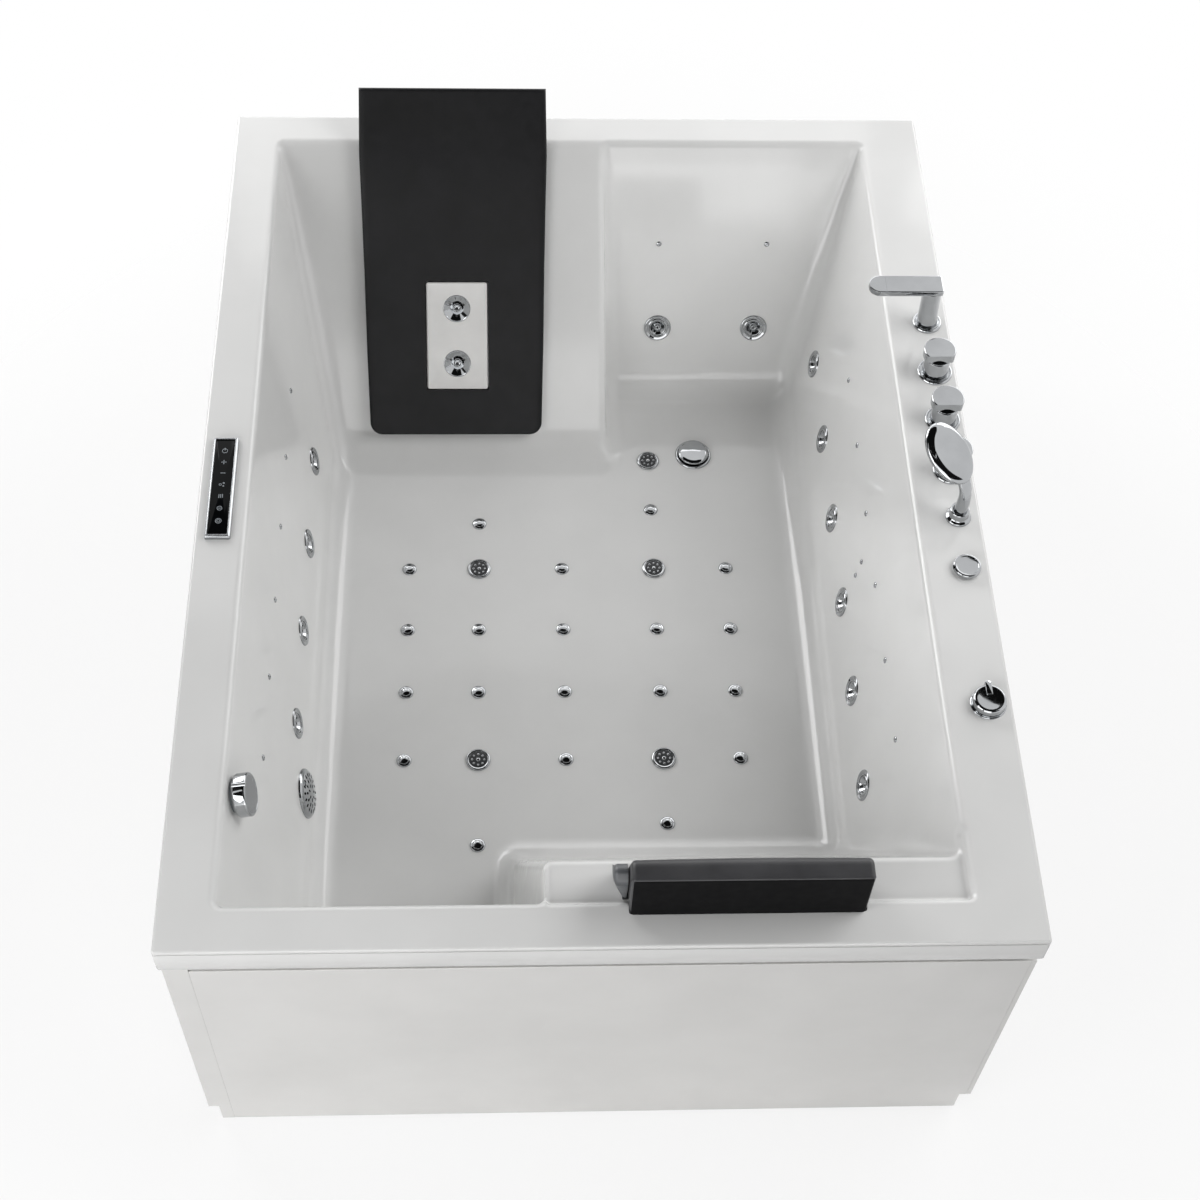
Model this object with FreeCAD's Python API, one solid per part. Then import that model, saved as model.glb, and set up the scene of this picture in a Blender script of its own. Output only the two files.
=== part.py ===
import FreeCAD, Part
import math
import os
from FreeCAD import Placement, Rotation, Vector

# Rectangular two-person jetted bath with a lounge and a footwell.
# Millimetres. +X right, +Y to the wall side, +Z up; the floor under the feet is z = 0
# and the origin is the middle of the footprint.

# ---- driving dimensions: outside and basin ---------------------------------------
TUB_WIDTH = 1350.0
TUB_LENGTH = 1800.0
DECK = 700.0                 # height of the flat deck
FLOOR = 220.0                # height of the basin floor
SHELL = 8.0                  # acrylic and its glass fibre backing together
FASCIA = 60.0                # height of the edge that hangs round the deck
RIM_LEFT = 86.0
RIM_RIGHT = 114.0
RIM_BACK = 75.0
RIM_FRONT = 75.0
EDGE_ROUND = 5.0

HALF_W = TUB_WIDTH / 2
HALF_L = TUB_LENGTH / 2
LEFT_EDGE = -HALF_W + RIM_LEFT       # basin edges at deck height
RIGHT_EDGE = HALF_W - RIM_RIGHT
BACK_EDGE = HALF_L - RIM_BACK
FRONT_EDGE = -HALF_L + RIM_FRONT

# Each basin wall: place of its edge at deck height, and its lean from upright in degrees
LEFT_WALL = (LEFT_EDGE, 12.0)
RIGHT_WALL = (RIGHT_EDGE, 14.0)
LOUNGE_WALL = (BACK_EDGE, 40.5)
FOOTWELL_WALL = (BACK_EDGE, 25.0)
FRONT_BACKREST = (-755.0, 27.5)
FOOT_END_WALL = (FRONT_EDGE, 14.0)
STEP_WALL = (50.0, 1.0)              # side of the lounge, facing the footwell
RECESS_SIDE = (-90.0, 6.0)           # side of the front backrest, facing the foot end
BASIN_ROUND = 50.0
TOE_ROUND = 110.0                    # where the lounge runs into the floor
BEND_ROUND = 15.0
SHELF = 682.0                        # shallow shelf that carries the front pillow
SHELF_RIGHT = 566.0
SHELF_ROUND = 10.0

# ---- frame and aprons ------------------------------------------------------------
TUBE = 30.0
TUBE_WALL = 2.0
APRON = 8.0
APRON_SET_BACK = 6.0
APRON_GAP = 20.0                     # shadow gap under the fascia
SIDE_APRON_FOOT = 60.0
APRON_TOE = 26.0                     # how far the front apron's foot stops short of the side
FRONT_APRON_FOOT = 3.0
CORNER_POST = 38.7
CLIP = 10.0
FRAME_TOP = FLOOR - SHELL
FRAME_LOW = FRAME_TOP - TUBE
FRAME_X = HALF_W - APRON_SET_BACK - APRON - CLIP - TUBE / 2
FRAME_Y = HALF_L - APRON_SET_BACK - APRON - CLIP - TUBE / 2
BEARER_X = [-395.0, -270.0, -120.0, 50.0, 350.0]
UPRIGHTS = [(-FRAME_X, -FRAME_Y), (FRAME_X, -FRAME_Y), (-FRAME_X, FRAME_Y), (FRAME_X, FRAME_Y),
            (-FRAME_X, 200.0), (FRAME_X, -345.0), (-60.0, -FRAME_Y), (60.0, FRAME_Y)]
FEET = [(-FRAME_X, -FRAME_Y), (FRAME_X, -FRAME_Y), (-FRAME_X, FRAME_Y), (FRAME_X, FRAME_Y),
        (-FRAME_X, 0.0), (FRAME_X, 0.0), (0.0, -FRAME_Y), (0.0, FRAME_Y),
        (50.0, -250.0), (50.0, 330.0)]
FOOT_PAD_R = 22.0
STEM_R = 6.0

# ---- jets ------------------------------------------------------------------------
JET_HEIGHT = 375.0
LEFT_JETS = [285.0 - 198.0 * i for i in range(4)]
RIGHT_JETS = [535.0 - 196.0 * i for i in range(6)]
FOOTWELL_JETS = [168.0, 368.0]
FOOTWELL_JET_HEIGHT = 346.0
PAD_JETS = [455.0, 371.0]            # heights, both on one line down the lounge
PAD_JET_X = -244.0
FLANGE_R = 28.0
HOLE_R = 20.0
NECK_R = 19.6
CHAMBER_R = 24.0
CHAMBER_BOTTOM = -62.0
BORE_R = 16.9
INSERT_R = 16.83                     # 0.07 running clearance all round
PAD_DISH_R = 27.0
PAD_DISH_BORE_R = 27.08
MAIN_PIPE_R = 16.0
AIR_PIPE_R = 8.0
PIPE_GAP = 0.4

NOZZLE_R = 5.5
LEFT_NOZZLES = [329.0 - 160.0 * i for i in range(6)]
LEFT_NOZZLE_HEIGHT = 534.0
RIGHT_NOZZLES = [368.0 - 161.0 * i for i in range(6)]
RIGHT_NOZZLE_HEIGHT = 519.0
FOOTWELL_NOZZLES = [165.0, 385.0]
FOOTWELL_NOZZLE_HEIGHT = 512.0
SENSORS = [(-34.0, 477.0), (-42.0, 446.0)]

# ---- floor fittings --------------------------------------------------------------
COLUMNS = [-338.0, -201.0, -38.0, 144.0, 287.0]
ROWS = [136.0, -8.0, -150.0, -298.0]
PLATE_COLUMNS = [1, 3]
PLATE_ROWS = [0, 3]
EXTRA_BUBBLE_JETS = [(-201.0, 247.0), (144.0, 281.0), (-201.0, -475.0), (144.0, -434.0)]
EXTRA_PLATE = (144.0, 407.0)
BUBBLE_JET_R = 14.0
PLATE_R = 23.0
FLOOR_AIR_R = 9.0
FLOOR_AIR_Z = 186.0 + FLOOR_AIR_R
HEADER_Y = -225.0
HEADER_Z = 160.0
DRAIN = (238.0, 423.0)
DRAIN_FLANGE_R = 37.0
PLUG_R = 31.0
PLUG_LIFT = 6.0
PLUG_SEAT = 0.8                      # height of the plug's seat above the basin floor
WASTE_R = 18.0
WASTE_SPIGOT_R = 20.0
WASTE_SPIGOT = 50.0
WASTE_Z = 130.0
OVERFLOW_RUN_Z = 128.0
PIPE_END_Y = HALF_L - 8.0

# ---- left wall and deck fittings -------------------------------------------------
SUCTION = (-413.0, 306.0)            # along the wall, height
SUCTION_R = 45.0
OVERFLOW = (-608.0, 650.0)
OVERFLOW_KNOB_R = 35.5
PANEL = (-635.0, -33.0)
PANEL_LENGTH = 217.0
PANEL_WIDTH = 44.0
DECK_LINE_X = 635.0                  # right deck fittings stand on one line
SPOUT_Y = 352.0
SPOUT_TOP = 820.0
SPOUT_LENGTH = 134.0
SPOUT_WIDTH = 40.0
KNOBS = {"hot_knob": 232.0, "cold_knob": 119.0, "diverter_knob": 5.0}
KNOB_HEIGHT = 62.0
KNOB_R = 29.0
KNOB_FLAT_Y = -16.0                  # the cap's front is cut flat here
SPINDLE_R = 8.0
HAND_SHOWER_Y = -98.0
DOCK_R = 12.1
AIR_DIAL_Y = -209.0
SELECTOR_Y = -478.0
SUPPLY_X = 590.0
HOT_Z = 600.0
COLD_Z = 560.0
SUPPLY_R = 10.5

# ---- soft parts ------------------------------------------------------------------
PAD_X = -248.0
PAD_TOP_WIDTH = 362.0
PAD_FOOT_WIDTH = 346.0
PAD_HEAD = 105.0                     # how far the pad runs on above the deck edge
PAD_REACH = 578.0                    # how far it runs down the lounge
PAD_THICK = 22.0
PAD_ROUND = 22.0
JET_PLATE = (121.0, 214.0)
PILLOW_X = (36.0, 397.0)
PILLOW_BACK_Y = -848.0
PILLOW_TOP = 814.0

# ---- equipment under the shell ---------------------------------------------------
TRAY = 3.0
PUMP_Y = 700.0
PUMP_R = 75.0
PUMP_X = (-480.0, -418.0)
MOTOR_X = (-406.0, -190.0)
MOTOR_R = 62.0
PUMP_Z = FRAME_TOP + TRAY + 13.0 + PUMP_R
BACK_PIPE_Y = 822.0
SUCTION_PIPE_Z = 258.0
PIPE_STEP = 40.0                     # rise that clears the pump's suction leg

BIG = 6000.0
CUT_TOP = DECK + 60.0


# ---- small tools -----------------------------------------------------------------
def box(x, y, z):
    """Box from three (low, high) pairs."""
    size = [pair[1] - pair[0] for pair in (x, y, z)]
    return Part.makeBox(size[0], size[1], size[2], Vector(x[0], y[0], z[0]))


def rod(radius, start, end):
    """Round bar between two points."""
    start = Vector(*start)
    run = Vector(*end) - start
    return Part.makeCylinder(radius, run.Length, start, run)


def upright_rod(radius, z, x=0.0, y=0.0):
    """Round bar along Z from a (low, high) pair."""
    return Part.makeCylinder(radius, z[1] - z[0], Vector(x, y, z[0]))


def turned(outline):
    """Solid of revolution about Z from a closed outline of (radius, height) points."""
    points = [Vector(r, 0, z) for r, z in outline]
    face = Part.Face(Part.makePolygon(points + [points[0]]))
    return face.revolve(Vector(0, 0, 0), Vector(0, 0, 1), 360)


def prism(outline, depth):
    """Outline of (x, y, z) points pushed along the depth vector."""
    points = [Vector(*p) for p in outline]
    return Part.Face(Part.makePolygon(points + [points[0]])).extrude(Vector(*depth))


def pipe_run(radius, route):
    """Round pipe along straight legs, with a ball at each turn."""
    run = rod(radius, route[0], route[1])
    for start, end in zip(route[1:-1], route[2:]):
        ball = Part.makeSphere(radius, Vector(*start))
        run = run.fuse([ball, rod(radius, start, end)])
    return run.removeSplitter()


def joined(first, *others):
    return first.fuse(list(others)).removeSplitter()


def group(solids):
    """Separate solids kept as one named sub-part."""
    return Part.makeCompound(solids)


def at(shape, place):
    """Copy of a shape moved to a place."""
    moved = shape.copy()
    moved.Placement = place.multiply(moved.Placement)
    return moved


def largest(shape):
    """The biggest solid of a shape, without slivers that a cut leaves."""
    return max(shape.Solids, key=lambda solid: solid.Volume)


def save(name, shape):
    for solid in shape.Solids:
        if not solid.isValid():
            print("not valid:", name)
    shape.exportStep("parts/%s.step" % name)
    print("%-22s %3d solids %9.1f cm3" % (name, len(shape.Solids), shape.Volume / 1000.0))


# ---- places on the basin walls ---------------------------------------------------
def lean(wall, height):
    """How far a wall has moved in from its deck edge at a height, and its lean."""
    angle = math.radians(wall[1])
    return (DECK - height) * math.tan(angle), angle


def on_left(y, height):
    """Place on the left wall: Z into the basin, Y up the wall."""
    inward, angle = lean(LEFT_WALL, height)
    normal = Vector(math.cos(angle), 0, math.sin(angle))
    up = Vector(-math.sin(angle), 0, math.cos(angle))
    return Placement(Vector(LEFT_EDGE + inward, y, height),
                     Rotation(up.cross(normal), up, normal, "ZYX"))


def on_right(y, height):
    inward, angle = lean(RIGHT_WALL, height)
    normal = Vector(-math.cos(angle), 0, math.sin(angle))
    up = Vector(math.sin(angle), 0, math.cos(angle))
    return Placement(Vector(RIGHT_EDGE - inward, y, height),
                     Rotation(up.cross(normal), up, normal, "ZYX"))


def on_back(x, height, wall=FOOTWELL_WALL):
    inward, angle = lean(wall, height)
    normal = Vector(0, -math.cos(angle), math.sin(angle))
    up = Vector(0, math.sin(angle), math.cos(angle))
    return Placement(Vector(x, BACK_EDGE - inward, height),
                     Rotation(up.cross(normal), up, normal, "ZYX"))


def on_lounge(x, height):
    return on_back(x, height, LOUNGE_WALL)


def on_floor(x, y):
    return Placement(Vector(x, y, FLOOR), Rotation())


def on_deck(x, y):
    return Placement(Vector(x, y, DECK), Rotation())


def point_on(place, x, y, z):
    """World coordinates of a point given in a wall's own axes."""
    spot = place.multVec(Vector(x, y, z))
    return (spot.x, spot.y, spot.z)


def jet_places():
    """Name and place of every wall jet."""
    places = {}
    for i, y in enumerate(LEFT_JETS):
        places["jet_insert_left_%d" % (i + 1)] = on_left(y, JET_HEIGHT)
    for i, y in enumerate(RIGHT_JETS):
        places["jet_insert_right_%d" % (i + 1)] = on_right(y, JET_HEIGHT)
    for i, x in enumerate(FOOTWELL_JETS):
        places["jet_insert_footwell_%d" % (i + 1)] = on_back(x, FOOTWELL_JET_HEIGHT)
    return places


def pad_jet_places():
    return {"jet_insert_pad_%d" % (i + 1): on_lounge(PAD_JET_X, z)
            for i, z in enumerate(PAD_JETS)}


def nozzle_places():
    places = [on_left(y, LEFT_NOZZLE_HEIGHT) for y in LEFT_NOZZLES]
    places += [on_right(y, RIGHT_NOZZLE_HEIGHT) for y in RIGHT_NOZZLES]
    places += [on_back(x, FOOTWELL_NOZZLE_HEIGHT) for x in FOOTWELL_NOZZLES]
    return places


def bubble_jet_spots():
    spots = list(EXTRA_BUBBLE_JETS)
    for c, x in enumerate(COLUMNS):
        for r, y in enumerate(ROWS):
            if not (c in PLATE_COLUMNS and r in PLATE_ROWS):
                spots.append((x, y))
    return spots


def plate_spots():
    spots = [(COLUMNS[c], ROWS[r]) for c in PLATE_COLUMNS for r in PLATE_ROWS]
    return spots + [EXTRA_PLATE]


# ---- tub shell -------------------------------------------------------------------
def half_space(point, normal):
    """Very large block behind a plane."""
    block = Part.makeBox(BIG, BIG, BIG, Vector(-BIG / 2, -BIG / 2, -BIG))
    block.Placement = Placement(point, Rotation(Vector(0, 0, 1), normal))
    return block


def pocket(walls, floor, grow):
    """Hollow with four leaning walls; grow moves every face out by that much."""
    hollow = box((-BIG / 2, BIG / 2), (-BIG / 2, BIG / 2), (floor - grow, CUT_TOP))
    sides = ((-1, 0), (1, 0), (0, -1), (0, 1))
    for (edge, angle), (dx, dy) in zip(walls, sides):
        tilt = math.radians(angle)
        normal = Vector(dx * math.cos(tilt), dy * math.cos(tilt), -math.sin(tilt))
        point = Vector(abs(dx) * edge, abs(dy) * edge, DECK) + normal * grow
        hollow = hollow.common(half_space(point, normal))
    return hollow


def edge_middle(edge):
    return edge.valueAt((edge.FirstParameter + edge.LastParameter) / 2)


def rounded_pocket(hollow, radius, toe=0.0):
    """Rounds all edges but the top ones; toe rounds the back floor edge first."""
    low = hollow.BoundBox.ZMin
    if toe:
        back = max(v.Y for v in hollow.Vertexes if v.Z < low + 1)
        along_back = [e for e in hollow.Edges
                      if all(abs(v.Z - low) < 1 and abs(v.Y - back) < 1 for v in e.Vertexes)]
        hollow = hollow.makeFillet(toe, along_back)
    chosen = []
    for edge in hollow.Edges:
        ends = edge.Vertexes
        at_top = all(abs(v.Z - CUT_TOP) < 1 for v in ends)
        crosswise = abs(ends[0].X - ends[-1].X) > 200 and abs(ends[0].Y - ends[-1].Y) < 1
        toe_seam = toe > 0 and crosswise and edge_middle(edge).y > 0
        if not at_top and not toe_seam:
            chosen.append(edge)
    return hollow.makeFillet(radius, chosen)


def inner_bends(solid):
    """Edges where two faces of the hollow meet as a notch."""
    found = []
    for edge in solid.Edges:
        faces = [f for f in solid.Faces if any(edge.isSame(e) for e in f.Edges)]
        if edge.Length < 1 or len(faces) != 2 or edge_middle(edge).z > DECK - 1:
            continue
        middle = edge_middle(edge)
        normals = [f.normalAt(*f.Surface.parameter(middle)) for f in faces]
        if math.degrees(normals[0].getAngle(normals[1])) < 20:
            continue
        along = edge.tangentAt((edge.FirstParameter + edge.LastParameter) / 2)
        into_face = along.cross(normals[1]).normalize()
        nearby = Part.Vertex(middle + into_face * 0.3)
        if nearby.distToShape(faces[1])[0] > 0.05:
            into_face = into_face * -1
        if into_face.dot(normals[0]) > 0:
            found.append(edge)
    return found


def basin(grow):
    """The whole hollow of the bath, grown by the shell for its outside."""
    r = BASIN_ROUND + grow
    walls = (LEFT_WALL, RIGHT_WALL, FRONT_BACKREST, LOUNGE_WALL)
    main = rounded_pocket(pocket(walls, FLOOR, grow), r, TOE_ROUND + grow)
    walls = (STEP_WALL, RIGHT_WALL, (-300.0, 27.5), FOOTWELL_WALL)
    footwell = rounded_pocket(pocket(walls, FLOOR, grow), r)
    walls = (LEFT_WALL, RECESS_SIDE, FOOT_END_WALL, (0.0, 25.0))
    foot_end = rounded_pocket(pocket(walls, FLOOR, grow), r)
    hollow = joined(main, footwell, foot_end)
    hollow = hollow.makeFillet(BEND_ROUND - grow * 0.25, inner_bends(hollow))
    walls = (RECESS_SIDE, (SHELF_RIGHT, 8.0), (FRONT_EDGE, 8.0), (-700.0, 8.0))
    shelf = rounded_pocket(pocket(walls, SHELF, grow), SHELF_ROUND + grow)
    return joined(hollow, shelf)


def drill(radius, depth=30.0, above=12.0):
    return upright_rod(radius, (-depth, above))


def shell_holes():
    """Every hole through the shell, as the bars that cut them."""
    jets = list(jet_places().values()) + list(pad_jet_places().values())
    cuts = [at(drill(HOLE_R), place) for place in jets]
    cuts += [at(drill(4.0), p) for p in nozzle_places()]
    cuts += [at(drill(4.0), on_right(y, z)) for y, z in SENSORS]
    cuts += [at(drill(8.0), on_floor(x, y)) for x, y in bubble_jet_spots()]
    cuts += [at(drill(15.0), on_floor(x, y)) for x, y in plate_spots()]
    cuts.append(at(drill(27.0), on_floor(*DRAIN)))
    cuts.append(at(drill(28.0), on_left(*SUCTION)))
    cuts.append(at(drill(22.0), on_left(*OVERFLOW)))
    for y in list(KNOBS.values()) + [SPOUT_Y, HAND_SHOWER_Y, AIR_DIAL_Y, SELECTOR_Y]:
        cuts.append(at(drill(14.0), on_deck(DECK_LINE_X, y)))
    half = (PANEL_WIDTH / 2 - 6, PANEL_LENGTH / 2 - 12)
    cuts.append(box((PANEL[0] - half[0], PANEL[0] + half[0]),
                    (PANEL[1] - half[1], PANEL[1] + half[1]), (DECK - 30, DECK + 12)))
    return cuts


def tub_shell():
    """One acrylic moulding: deck, fascia, basin walls and floor."""
    outside = box((-HALF_W, HALF_W), (-HALF_L, HALF_L), (DECK - FASCIA, DECK))
    corners = [e for e in outside.Edges if abs(edge_middle(e).x) > HALF_W - 1
               or abs(edge_middle(e).y) > HALF_L - 1]
    corners = [e for e in corners if edge_middle(e).z > DECK - FASCIA + 1]
    outside = outside.makeFillet(EDGE_ROUND, corners)
    under = box((-HALF_W + SHELL, HALF_W - SHELL), (-HALF_L + SHELL, HALF_L - SHELL),
                (DECK - FASCIA - 1, DECK - SHELL))
    deck = outside.cut(under)
    room = box((-HALF_W, HALF_W), (-HALF_L, HALF_L), (0, DECK))
    shell = deck.fuse(basin(SHELL).common(room)).cut(basin(0.0))
    return shell.cut(shell_holes()).removeSplitter()


# ---- aprons ----------------------------------------------------------------------
def front_apron():
    y = -HALF_L + APRON_SET_BACK
    x = (-HALF_W + APRON_SET_BACK + CORNER_POST + 0.3, HALF_W - APRON_SET_BACK - APRON - 0.3)
    top = DECK - FASCIA - APRON_GAP
    panel = box(x, (y, y + APRON), (FRONT_APRON_FOOT, top))
    middle = (x[0] + x[1]) / 2
    long_edges = [e for e in panel.Edges if abs(edge_middle(e).y - y) < 0.1
                  and abs(edge_middle(e).x - middle) < 1]
    panel = panel.makeFillet(1.5, long_edges)
    return panel.cut(box((HALF_W - APRON_TOE, HALF_W), (y - 1, y + APRON + 1), (0, SIDE_APRON_FOOT)))


def side_apron(side):
    outer = side * (HALF_W - APRON_SET_BACK)
    x = sorted((outer, outer - side * APRON))
    top = DECK - FASCIA
    front = -HALF_L + APRON_SET_BACK
    if side > 0:
        top -= APRON_GAP
    else:
        front += CORNER_POST + 0.3
    return box(x, (front, HALF_L - 4.0), (SIDE_APRON_FOOT, top))


def corner_post():
    """Folded corner trim whose outer edge stops short of the floor."""
    x = -HALF_W + APRON_SET_BACK
    y = -HALF_L + APRON_SET_BACK
    top = DECK - FASCIA
    front = box((x, x + CORNER_POST), (y, y + APRON), (FRONT_APRON_FOOT, top))
    front = front.cut(box((x - 1, x + 18.0), (y - 1, y + APRON + 1), (0, SIDE_APRON_FOOT)))
    side = box((x, x + APRON), (y + APRON, y + CORNER_POST), (SIDE_APRON_FOOT, top))
    return joined(front, side)


# ---- steel frame -----------------------------------------------------------------
def square_tube(start, end):
    """Hollow square tube along one axis between two centre points."""
    start = Vector(*start)
    end = Vector(*end)
    bar = []
    for i in range(3):
        along = abs(end[i] - start[i]) > 1
        half = 0 if along else TUBE / 2
        bar.append((min(start[i], end[i]) - half, max(start[i], end[i]) + half))
    inner = []
    for i, (low, high) in enumerate(bar):
        along = abs(end[i] - start[i]) > 1
        inset = -1 if along else TUBE_WALL
        inner.append((low + inset, high - inset))
    return box(*bar).cut(box(*inner))


def frame_base():
    z = (FRAME_LOW + FRAME_TOP) / 2
    end_x = FRAME_X - TUBE / 2
    end_y = FRAME_Y - TUBE / 2
    tubes = [square_tube((s * FRAME_X, -FRAME_Y - TUBE / 2, z), (s * FRAME_X, FRAME_Y + TUBE / 2, z))
             for s in (-1, 1)]
    tubes += [square_tube((-end_x, s * FRAME_Y, z), (end_x, s * FRAME_Y, z)) for s in (-1, 1)]
    tubes += [square_tube((x, -end_y, z), (x, end_y, z)) for x in BEARER_X]
    return group(tubes)


def frame_uprights():
    """Posts with a plate glued under the deck, and the clips that hold the aprons."""
    pieces = []
    plate_z = DECK - SHELL - 4.0
    for x, y in UPRIGHTS:
        post = square_tube((x, y, FRAME_TOP), (x, y, plate_z))
        plate = box((x - 24, x + 24), (y - 24, y + 24), (plate_z, plate_z + 4.0))
        pieces.append(joined(post, plate))
        for z in (300.0, 570.0):
            if abs(x) > FRAME_X - 1:
                outer = math.copysign(FRAME_X + TUBE / 2, x)
                pieces.append(box(sorted((outer, outer + math.copysign(CLIP, x))),
                                  (y - 10, y + 10), (z, z + 25)))
            if y < 0 and abs(y) > FRAME_Y - 1:
                outer = -FRAME_Y - TUBE / 2
                pieces.append(box((x - 10, x + 10), (outer - CLIP, outer), (z + 26, z + 48)))
    return group(pieces)


def levelling_feet():
    pad = [(0, 0), (FOOT_PAD_R, 0), (FOOT_PAD_R, 4), (10, 9), (STEM_R, 9),
           (STEM_R, FRAME_LOW), (0, FRAME_LOW)]
    return group([at(turned(pad), Placement(Vector(x, y, 0), Rotation())) for x, y in FEET])


def foot_locknuts():
    nuts = []
    for x, y in FEET:
        corner = [(x + 11 * math.cos(a), y + 11 * math.sin(a), FRAME_LOW - 10)
                  for a in [math.radians(60 * i) for i in range(6)]]
        nut = prism(corner, (0, 0, 9.7))
        nuts.append(nut.cut(upright_rod(STEM_R + 0.3, (0, FRAME_TOP), x, y)))
    return group(nuts)


# ---- jets ------------------------------------------------------------------------
def jet_body(neck_top):
    """Barrel through the wall with its chamber behind, bored for the turning insert."""
    outline = [(0, CHAMBER_BOTTOM), (CHAMBER_R, CHAMBER_BOTTOM), (CHAMBER_R, -22),
               (NECK_R, -22), (NECK_R, neck_top), (BORE_R, neck_top), (BORE_R, -40), (0, -40)]
    return turned(outline)


def jet_locknut():
    return turned([(NECK_R + 0.3, -16), (29, -16), (29, -SHELL), (NECK_R + 0.3, -SHELL)])


def jet_bodies():
    solids = []
    for place in jet_places().values():
        solids += [at(jet_body(-0.3), place), at(jet_locknut(), place)]
    for place in pad_jet_places().values():
        solids += [at(jet_body(8.4), place), at(jet_locknut(), place)]
    return group(solids)


def jet_flange():
    return turned([(17.3, 0), (FLANGE_R, 0), (FLANGE_R, 1.4), (FLANGE_R - 2.5, 3.6),
                   (19.5, 2.4), (17.3, 2.4)])


def spray_holes(radius, count, size, depth):
    """Ring of slanted holes through a dish."""
    holes = []
    for i in range(count):
        a = 2 * math.pi * i / count
        top = (radius * math.cos(a), radius * math.sin(a), 12)
        bottom = (radius * math.cos(a) * 0.75, radius * math.sin(a) * 0.75, -depth)
        holes.append(rod(size, bottom, top))
    return holes


def jet_insert():
    """Turning nozzle: a barrel with a dished face and a hub in the middle."""
    face = 1.6
    outline = [(0, -38), (INSERT_R, -38), (INSERT_R, face), (INSERT_R - 1.5, face),
               (7.5, -7), (6.0, -7), (4.6, -1), (0, -1)]
    insert = turned(outline)
    return insert.cut(spray_holes(11.0, 3, 2.4, 20) + [upright_rod(2.4, (-10, 12))])


def pad_jet_insert():
    """Wide dished nozzle of the pad jets; its barrel turns in the jet body."""
    seat = 9.0
    face = 26.0
    outline = [(0, -38), (INSERT_R, -38), (INSERT_R, seat), (PAD_DISH_R, seat), (PAD_DISH_R, face),
               (PAD_DISH_R - 1.5, face), (8.5, 13.5), (7.0, 13.5), (5.2, 21), (0, 21)]
    insert = turned(outline)
    return insert.cut([upright_rod(2.8, (8, 30))] + spray_holes(15.0, 3, 2.6, -2))


def air_nozzle():
    return turned([(0, -30), (3.2, -30), (3.2, 0), (NOZZLE_R, 0), (NOZZLE_R, 1.2),
                   (3.0, 2.6), (0, 2.6)])


def level_sensor():
    return turned([(0, -24), (3.4, -24), (3.4, 0), (4.6, 0), (4.6, 2.0), (0, 3.4)])


# ---- floor fittings --------------------------------------------------------------
def bubble_jet():
    """Low dome with a neck through the floor and a nut below."""
    low = FLOOR_AIR_Z + FLOOR_AIR_R + PIPE_GAP - FLOOR
    dome = turned([(0, low), (7.4, low), (7.4, 0), (BUBBLE_JET_R, 0), (BUBBLE_JET_R, 1.6),
                   (10.5, 3.8), (5.0, 4.8), (3.0, 4.2), (0, 4.2)])
    holes = [upright_rod(1.1, (3.0, 8), 7 * math.cos(a), 7 * math.sin(a))
             for a in [math.radians(60 * i) for i in range(6)]]
    return dome.cut(holes)


def massage_plate():
    """Perforated disc with a short chamber below the floor."""
    low = FLOOR_AIR_Z + FLOOR_AIR_R + PIPE_GAP - FLOOR
    disc = turned([(0, low), (14.5, low), (14.5, 0), (PLATE_R, 0), (PLATE_R, 1.8),
                   (PLATE_R - 2, 3.4), (0, 4.4)])
    holes = [upright_rod(2.0, (1.0, 8), 15.5 * math.cos(a), 15.5 * math.sin(a))
             for a in [math.radians(36 * i) for i in range(10)]]
    holes += [upright_rod(2.0, (1.0, 8), 8 * math.cos(a), 8 * math.sin(a))
              for a in [math.radians(72 * i) for i in range(5)]]
    return disc.cut(holes)


def drain_flange():
    """Waste ring, its body under the floor and the guide for the plug's stem."""
    ring = turned([(23.0, -62), (26.6, -62), (26.6, 0), (DRAIN_FLANGE_R, 0), (DRAIN_FLANGE_R - 1, 3.4),
                   (PLUG_R + 1.5, 3.4), (PLUG_R + 1, PLUG_SEAT), (26.0, PLUG_SEAT), (26.0, -6), (23.0, -6)])
    guide = upright_rod(9.0, (-46, -26)).cut(upright_rod(5.08, (-50, -20)))
    arms = [at(box((5.5, 24.0), (-2.5, 2.5), (-40, -30)).cut(upright_rod(8.9, (-50, -20))),
               Placement(Vector(), Rotation(Vector(0, 0, 1), 120 * i))) for i in range(3)]
    return joined(ring, guide, *arms)


def drain_plug():
    """Pop-up plug, shown raised, on a stem that slides in the waste body."""
    low = PLUG_SEAT + 0.2 + PLUG_LIFT
    return turned([(0, -52), (5.0, -52), (5.0, low), (PLUG_R, low), (PLUG_R, low + 3.0),
                   (PLUG_R - 4, low + 5.6), (9.0, low + 6.6), (0, low + 6.6)])


# ---- wall and deck fittings ------------------------------------------------------
def suction_grille():
    """Domed guard with rings of slots over the suction opening."""
    guard = turned([(0, -14), (27.5, -14), (27.5, 0), (SUCTION_R, 0), (SUCTION_R, 3.0),
                    (SUCTION_R - 4, 8.0), (20, 11.0), (0, 11.5)])
    guard = guard.cut(turned([(0, -15), (22, -15), (22, 2), (34, 2), (34, 4), (20, 6.5), (0, 7)]))
    slots = []
    for radius, count in ((32.0, 16), (22.0, 12), (12.0, 6)):
        for i in range(count):
            a = 2 * math.pi * i / count
            slots.append(upright_rod(2.5, (1, 14), radius * math.cos(a), radius * math.sin(a)))
    return guard.cut(slots)


def overflow_body():
    """Holder through the wall with the spindle that carries the knob."""
    return turned([(0, -34), (26, -34), (26, -10), (21, -10), (21, 0), (27, 0), (27, 3),
                   (7.0, 3), (7.0, 20), (0, 20)])


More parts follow.
